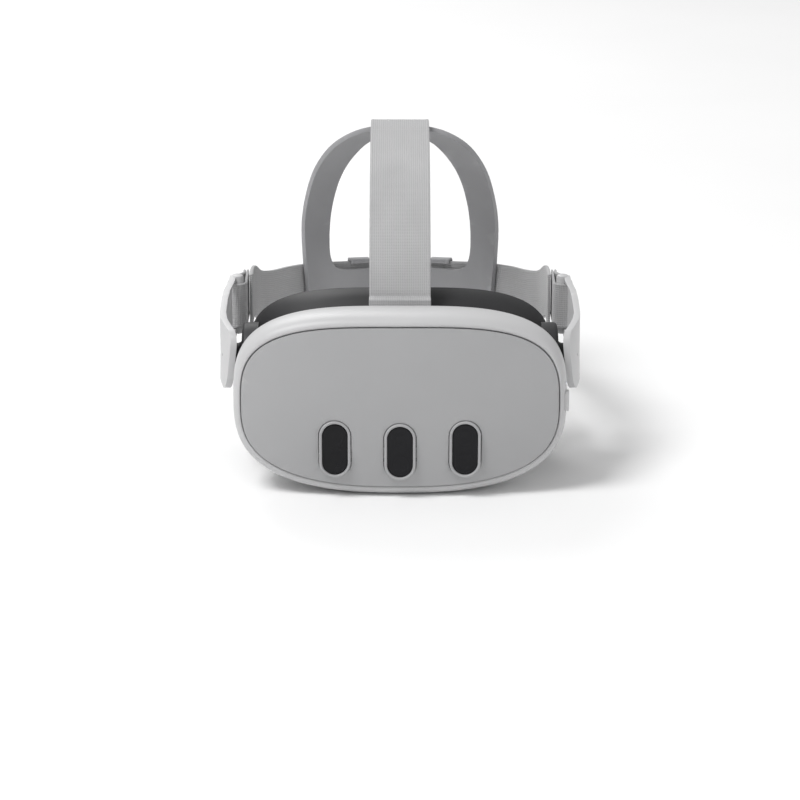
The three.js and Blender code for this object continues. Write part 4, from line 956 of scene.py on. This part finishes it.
def buildCushion():
    front = faceBack + 0.3
    thick, wide = face["cushionThickness"], face["cushionWidth"]
    section = [
        (0.00, 0.5), (0.12, -0.2), (0.35, -0.5), (0.6, 0.0), (0.8, 1.0), (0.93, 2.4), (1.0, 4.2), (1.0, 6.4),
        (0.93, 8.4), (0.8, 9.8), (0.6, 10.7), (0.35, 11.0), (0.12, 10.8), (0.0, 10.4),
    ]
    halfWidth, halfHeight = face["halfWidth"] - 1, face["halfHeight"] - 1
    rings = [
        faceRing(front + depth * thick, halfWidth - inset * wide / 11, halfHeight - inset * wide / 11, 1.0)
        for depth, inset in section
    ]
    pad = skinRings("faceCushion", rings, looped=True)
    inflate(pad)
    seam(pad, front)
    dress(pad, "facial_interface", "foam", "face_cushion", angle=70.0)


def inflate(pad):
    remesh = pad.modifiers.new("remesh", "REMESH")
    remesh.mode = "VOXEL"
    remesh.voxel_size = cushion["voxel"] * mm
    settle(pad)
    start = np.array([v.co[:] for v in pad.data.vertices])
    normals = np.array([v.normal[:] for v in pad.data.vertices])
    shrunk = start - normals * cushion["start"] * mm
    pad.data.vertices.foreach_set("co", shrunk.ravel())
    cloth = pad.modifiers.new("cloth", "CLOTH")
    cloth.settings.use_pressure = True
    cloth.settings.uniform_pressure_force = cushion["pressure"]
    cloth.settings.effector_weights.gravity = 0.0
    cloth.settings.quality = 5
    cloth.settings.tension_stiffness = 30.0
    cloth.settings.compression_stiffness = 30.0
    cloth.point_cache.frame_start = 1
    cloth.point_cache.frame_end = cushion["frames"]
    scene = bpy.context.scene
    for step in range(1, cushion["frames"] + 1):
        scene.frame_set(step)
    settle(pad)
    scene.frame_set(1)
    end = np.array([v.co[:] for v in pad.data.vertices])
    move = end - shrunk
    length = np.linalg.norm(move, axis=1, keepdims=True)
    cap = cushion["cap"] * mm
    end = shrunk + move * np.minimum(1.0, cap / np.maximum(length, 1e-9))
    end[:, 2] = np.maximum(end[:, 2], 0.0004)
    pad.data.vertices.foreach_set("co", end.ravel())
    finer = pad.modifiers.new("finer", "SUBSURF")
    finer.levels = 1
    settle(pad)


# A sewn line round the cushion, a little behind its front edge.
def seam(pad, front):
    for vertex in pad.data.vertices:
        place = (vertex.co - crown) / mm
        temple = face["temple"] * (place.x / face["halfWidth"]) ** 2
        lower = max(0.0, -place.z / face["halfHeight"])
        cheek = face["cheek"] * lower * min(1.0, abs(place.x) / face["noseHalfWidth"])
        depth = place.y - front - temple - cheek
        pinch = 0.55 * math.exp(-((depth - 2.6) / 0.9) ** 2)
        vertex.co -= vertex.normal * pinch * mm


optics = {"barrelRadius": 21.2, "wall": 1.7, "front": 33.0, "back": 52.15}


def buildOptics():
    for name, sign in leftAndRight:
        low, high = nodeSpan(f"eyepiece_{name}")
        centreX = (low.x + high.x) / 2
        radius, wall = optics["barrelRadius"], optics["wall"]
        back = optics["back"]
        steps = [
            (radius, optics["front"]), (radius, back - 0.6), (radius - 0.25, back - 0.15), (radius - 0.7, back),
            (radius - wall, back - 0.25), (radius - wall - 0.1, back - 0.8), (radius - wall, optics["front"]),
        ]
        ring = turned(f"lensRing_{name}", "y", centreX, 0.0, steps, 96, looped=True)
        dress(ring, "lens_" + name, "dark_plastic", angle=40.0)
        glassRadius = (high.x - low.x) / 2
        turns = np.linspace(0.02, 1.25, 14)
        profile = [(glassRadius * math.sin(a), high.y - 2.6 * (1 - math.cos(a))) for a in turns]
        scale = glassRadius / profile[-1][0]
        dome = [(r * scale, y) for r, y in profile]
        rim = dome[-1][1]
        steps = dome + [
            (glassRadius, rim - 0.6), (glassRadius, low.y + 2.0),
            (glassRadius * 0.6, low.y + 0.8), (0.3, low.y),
        ]
        lens = turned(f"eyeLens_{name}", "y", centreX, 0.0, steps, 80)
        dress(lens, "lens_" + name, "lens_glass", f"eyepiece_{name}", angle=50.0)


strap = {
    "height": 27.0,
    "thickness": 2.0,
    "backY": 251.0,
    "headHalf": (86.0, 100.0, 112.0),
    "headY": 150.0,
    "bandThickness": 2.4,
}
strapHalf = [
    (78.5, 112.0, 24.75), (78.5, 130.0, 23.6), (78.3, 148.0, 19.5), (76.4, 168.0, 11.3), (70.8, 190.0, 5.5),
    (63.0, 210.5, 2.0), (54.0, 225.8, -0.6), (44.0, 234.8, -2.0), (32.0, 240.2, -3.0), (20.0, 245.6, -4.0),
    (9.0, 249.8, -4.7),
]


def strapLine(perSpan):
    right = [(-x, y, z) for x, y, z in reversed(strapHalf)]
    return smoothLine(strapHalf + [(0.0, strap["backY"], -5.0)] + right, perSpan)


def unit(vector):
    return vector / np.linalg.norm(vector)


def headingAt(line, i):
    return unit(np.array(line[min(i + 1, len(line) - 1)]) - np.array(line[max(i - 1, 0)]))


def strapFrames(line):
    frames = []
    for i, point in enumerate(line):
        along = headingAt(line, i)
        out = unit(np.array([along[1], -along[0], 0.0]))
        if out @ np.array([point[0], point[1] - strap["headY"], 0.0]) < 0:
            out = -out
        across = unit(np.cross(out, along))
        if across[2] < 0:
            across = -across
        frames.append((point, out, across))
    return frames


# Flat webbing with round edges and a thin raised edge yarn. UV runs in metres.
def webbing(name, frames, height, thickness, ends=True):
    half, thin = height / 2, thickness / 2
    section = []
    for side in (1, -1):
        section += [(side * thin * 0.86, side * (half - k)) for k in (6.0 + 1e-3, 3.2, 2.2, 1.7)]
        edge = [(1.0, 1.2), (0.94, 0.45), (0.55, 0.1)]
        section += [(side * thin * share, side * (half - k)) for share, k in edge]
        section += [(-side * thin * share, side * (half - k)) for share, k in reversed(edge)]
        section += [(-side * thin * 0.86, side * (half - k)) for k in (1.7, 2.2, 3.2, 6.0)]
    rings, uvs = [], []
    travelled = 0.0
    for i, (point, out, across) in enumerate(frames):
        if i:
            travelled += float(np.linalg.norm(point - frames[i - 1][0]))
        shrink = 0.6 if ends and i in (0, len(frames) - 1) else 1.0
        rings.append([tuple(point + out * (o * shrink) + across * a) for o, a in section])
        uvs += [((a + half) * mm, travelled * mm) for _, a in section]
    return skinRings(name, rings, uvs=uvs)


def buildMainStrap():
    frames = strapFrames(strapLine(14))
    belt = webbing("sideAndRearStrap", frames, strap["height"], strap["thickness"])
    dress(belt, "rear_strap", "webbing", "main_strap", angle=50.0)


def buildLoops():
    for name, sign in leftAndRight:
        low, high = nodeSpan(f"strap_loop_{name}")
        postX, postY = arm["post"]
        inner = arm["postRadius"] + 0.4
        mid = inner + 0.75
        x0 = postX - mid
        line = [(x0, y, 0.0) for y in np.linspace(high.y, postY, 12)]
        for k in range(1, 25):
            angle = math.pi + math.pi * k / 24
            line.append((postX + mid * math.cos(angle), postY + mid * math.sin(angle), 0.0))
        line += smoothLine([
            (postX + mid, postY + 0.5, 0), (postX + mid - 0.7, postY + 6, 0), (x0 + 3.6, high.y - 8, 0),
            (x0 + 1.85, high.y - 5, 0), (x0 + 1.75, high.y, 0),
        ], 6)
        frames = []
        middleZ = (low.z + high.z) / 2
        for i, point in enumerate(line):
            along = headingAt(line, i)
            out = np.array([along[1], -along[0], 0.0])
            here = np.array([point[0], point[1], middleZ])
            frames.append((here * [sign, 1, 1], out * [sign, 1, 1], np.array([0.0, 0.0, 1.0])))
        loop = webbing(f"postLoop_{name}", frames, high.z - low.z, 1.5)
        dress(loop, "head_strap", "webbing", f"strap_loop_{name}", angle=50.0)


archOuter = [
    (52.0, -10.0), (52.6, 4.0), (53.6, 16.8), (54.1, 37.8), (51.5, 55.8),
    (45.8, 74.3), (36.0, 89.2), (23.4, 97.2), (9.0, 99.7), (0.0, 99.9),
]
archInner = [
    (0.0, 92.8), (8.0, 92.2), (16.3, 89.6), (25.3, 80.0), (33.2, 65.9),
    (38.6, 46.0), (40.4, 26.0), (39.4, 14.0), (36.6, 8.6), (31.0, 6.4),
]


def ellipsoidY(x, z):
    a, b, c = strap["headHalf"]
    return strap["headY"] + b * math.sqrt(max(0.02, 1 - (x / a) ** 2 - (z / c) ** 2))


def bandTable():
    inset = strap["thickness"] / 2 + 0.6 + strap["bandThickness"] / 2
    rows = []
    for point, out, _ in strapFrames(strapLine(8)):
        place = point - out * inset
        if abs(place[0]) < 56:
            rows.append((place[0], place[1]))
    return sorted(rows)


def buildCradle():
    table = bandTable()
    crownY = [(56.0, 0.0), (70.0, 0.3), (90.0, 2.2), (100.0, 4.0)]

    def middleY(x, z):
        band = between(table, x) - 0.5
        share = min(1.0, max(0.0, (z - 8) / 46))
        share = share * share * (3 - 2 * share)
        return band * (1 - share) + (ellipsoidY(x, z) - between(crownY, z)) * share

    def bend(x, z, w):
        nearby = 0.5
        dx = (middleY(x + nearby, z) - middleY(x - nearby, z)) / (2 * nearby)
        dz = (middleY(x, z + nearby) - middleY(x, z - nearby)) / (2 * nearby)
        normal = unit(np.array([-dx, 1.0, -dz]))
        return tuple(np.array([x, middleY(x, z), z]) + normal * (w - strap["bandThickness"] / 2))

    outerHalf = smoothLine(archOuter, 5)
    innerHalf = smoothLine(archInner, 5)
    bottom = [(x, -17.2 + 4.4 * (x / 51) ** 2) for x in np.linspace(-44, 44, 23)]
    chamfer = [(49.0, -12.6), (51.6, -10.6)]
    outer = [(-x, z) for x, z in reversed(chamfer)] + bottom + chamfer
    outer += [tuple(point) for point in outerHalf[1:]]
    outer += [(-x, z) for x, z in reversed(outerHalf[1:-1])]
    inner = [tuple(point) for point in innerHalf] + [(15.0, 5.6), (0.0, 5.4), (-15.0, 5.6)]
    inner += [(-x, z) for x, z in reversed(innerHalf[1:])]
    cradle = platePiece("rearCradle", [outer, inner], strap["bandThickness"] + 0.2, 0.9, 5.0, bend, 4)
    dress(cradle, "rear_strap", "soft_rubber", "rear_cradle", angle=45.0)


def buildSliders():
    frames = strapFrames(strapLine(14))
    for name, _ in leftAndRight:
        low, high = nodeSpan(f"slider_{name}")
        middleX = (low.x + high.x) / 2
        point, out, across = min(frames, key=lambda f: abs(f[0][0] - middleX) + (0 if f[0][1] > 200 else 999))
        along = np.cross(out, across)
        inside, tall, lip = 1.85, 13.85, 1.2
        outer, top = inside + lip, tall + lip
        section = [
            (-inside - 1, top - 0.5), (-inside - 0.5, top), (outer - 1.2, top), (outer - 0.35, top - 0.35),
            (outer, top - 1.2),
        ]
        inner = [(inside, tall), (-inside, tall), (-inside, tall - 1.3), (-inside - 1, tall - 1.3)]
        whole = section + [(o, -a) for o, a in reversed(section)]
        whole += [(o, -a) for o, a in reversed(inner)] + inner
        rings = []
        for depth, squeeze in (
            (-6.0, 0.35), (-5.6, 0.0), (-2.5, 0.0), (0.0, 0.25), (2.5, 0.0), (5.6, 0.0), (6.0, 0.35),
        ):
            ring = []
            for o, a in whole:
                pinched = o - (squeeze if o > inside + 0.1 else 0.0)
                ring.append(tuple(point + along * depth + out * pinched + across * a))
            rings.append(ring)
        clip = skinRings(f"strapSlider_{name}", rings)
        dress(clip, "slider_" + name, "soft_rubber", f"slider_{name}", angle=40.0)


topStrap = {
    "width": 31.2,
    "thickness": 2.0,
    "line": [
        (41.0, 42.0), (44.4, 43.0), (48.0, 49.0), (55.0, 62.5), (66.0, 77.0), (84.0, 91.0),
        (108.0, 101.8), (136.0, 108.0), (158.0, 109.0), (178.0, 105.5), (193.5, 100.2), (203.0, 94.8),
    ],
    "crest": 140.0,
    "lift": 1.4,
}


def topFrames():
    line = smoothLine([(0.0, y, z) for y, z in topStrap["line"]], 12)
    frames = []
    for i, point in enumerate(line):
        along = headingAt(line, i)
        up = np.array([0.0, -along[2], along[1]])
        share = max(0.0, (point[1] - topStrap["crest"]) / (topStrap["line"][-1][0] - topStrap["crest"]))
        lift = topStrap["lift"] * share ** 2
        frames.append((point + up * lift, up, np.array([-1.0, 0.0, 0.0])))
    return frames


def buildTopStrap():
    frames = topFrames()
    crest = next(i for i, item in enumerate(frames) if item[0][1] > topStrap["crest"])
    front = webbing("topStrapFront", frames[:crest + 1], topStrap["width"], topStrap["thickness"], ends=False)
    rear = webbing("topStrapRear", frames[crest:], topStrap["width"], topStrap["thickness"], ends=False)
    for piece, node in ((front, "top_strap_front"), (rear, "top_strap_rear")):
        smoothBy(piece, 50.0)
        piece.data.materials.append(finishes["webbing"])
        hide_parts(node)
    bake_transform(front)
    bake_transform(rear)
    buildAnchor()


def buildAnchor():
    low, high = nodeSpan("strap_anchor")
    half = (high.x - low.x) / 2
    top = high.z
    tab = prism("strapTab", boxLoop(0.0, top - 7.0, half, 7.0, 0.8), "y", low.y, high.y)
    bevelEdges(tab, 0.6 * mm, 3)
    visorTop = [(x, z + 0.3) for x, z in goggleOutline(
        visor["halfWidth"] - 6.6, visor["halfHeight"] - 6.6, visor["topPower"], visor["bottomPower"], 120,
    )]
    tunnel = boxLoop(0.0, top - 6.6, half + 2.0, 5.0, 1.0)
    carve(tab, [
        prism("cutVisor", visorTop, "y", low.y - 5, high.y + 5),
        prism("cutTunnel", tunnel, "y", low.y + 3, high.y + 5),
    ])
    layer = tab.data.uv_layers.new(name="UVMap")
    for loop in tab.data.loops:
        place = tab.data.vertices[loop.vertex_index].co
        layer.data[loop.index].uv = (place.x, place.z - place.y)
    dress(tab, "visor", "webbing", "strap_anchor", angle=40.0)


def finishCadNodes():
    slots = {row["node"]: row["material_slot"] for row in frame["record"]["subparts"]}
    for name, piece in frame["nodes"].items():
        if piece.hide_render:
            continue
        piece.data.materials.clear()
        piece.data.materials.append(finishes[slots[name]])


addCamera()
addStudio()
print("stage: camera and studio")
buildHousing()
buildPlate()
buildWindows()
print("stage: visor front")
buildControls()
buildArms()
print("stage: controls and arms")
buildInterfaceFrame()
buildCushion()
buildOptics()
print("stage: facial interface and lenses")
buildMainStrap()
buildLoops()
buildCradle()
buildSliders()
buildTopStrap()
finishCadNodes()
print("stage: straps")
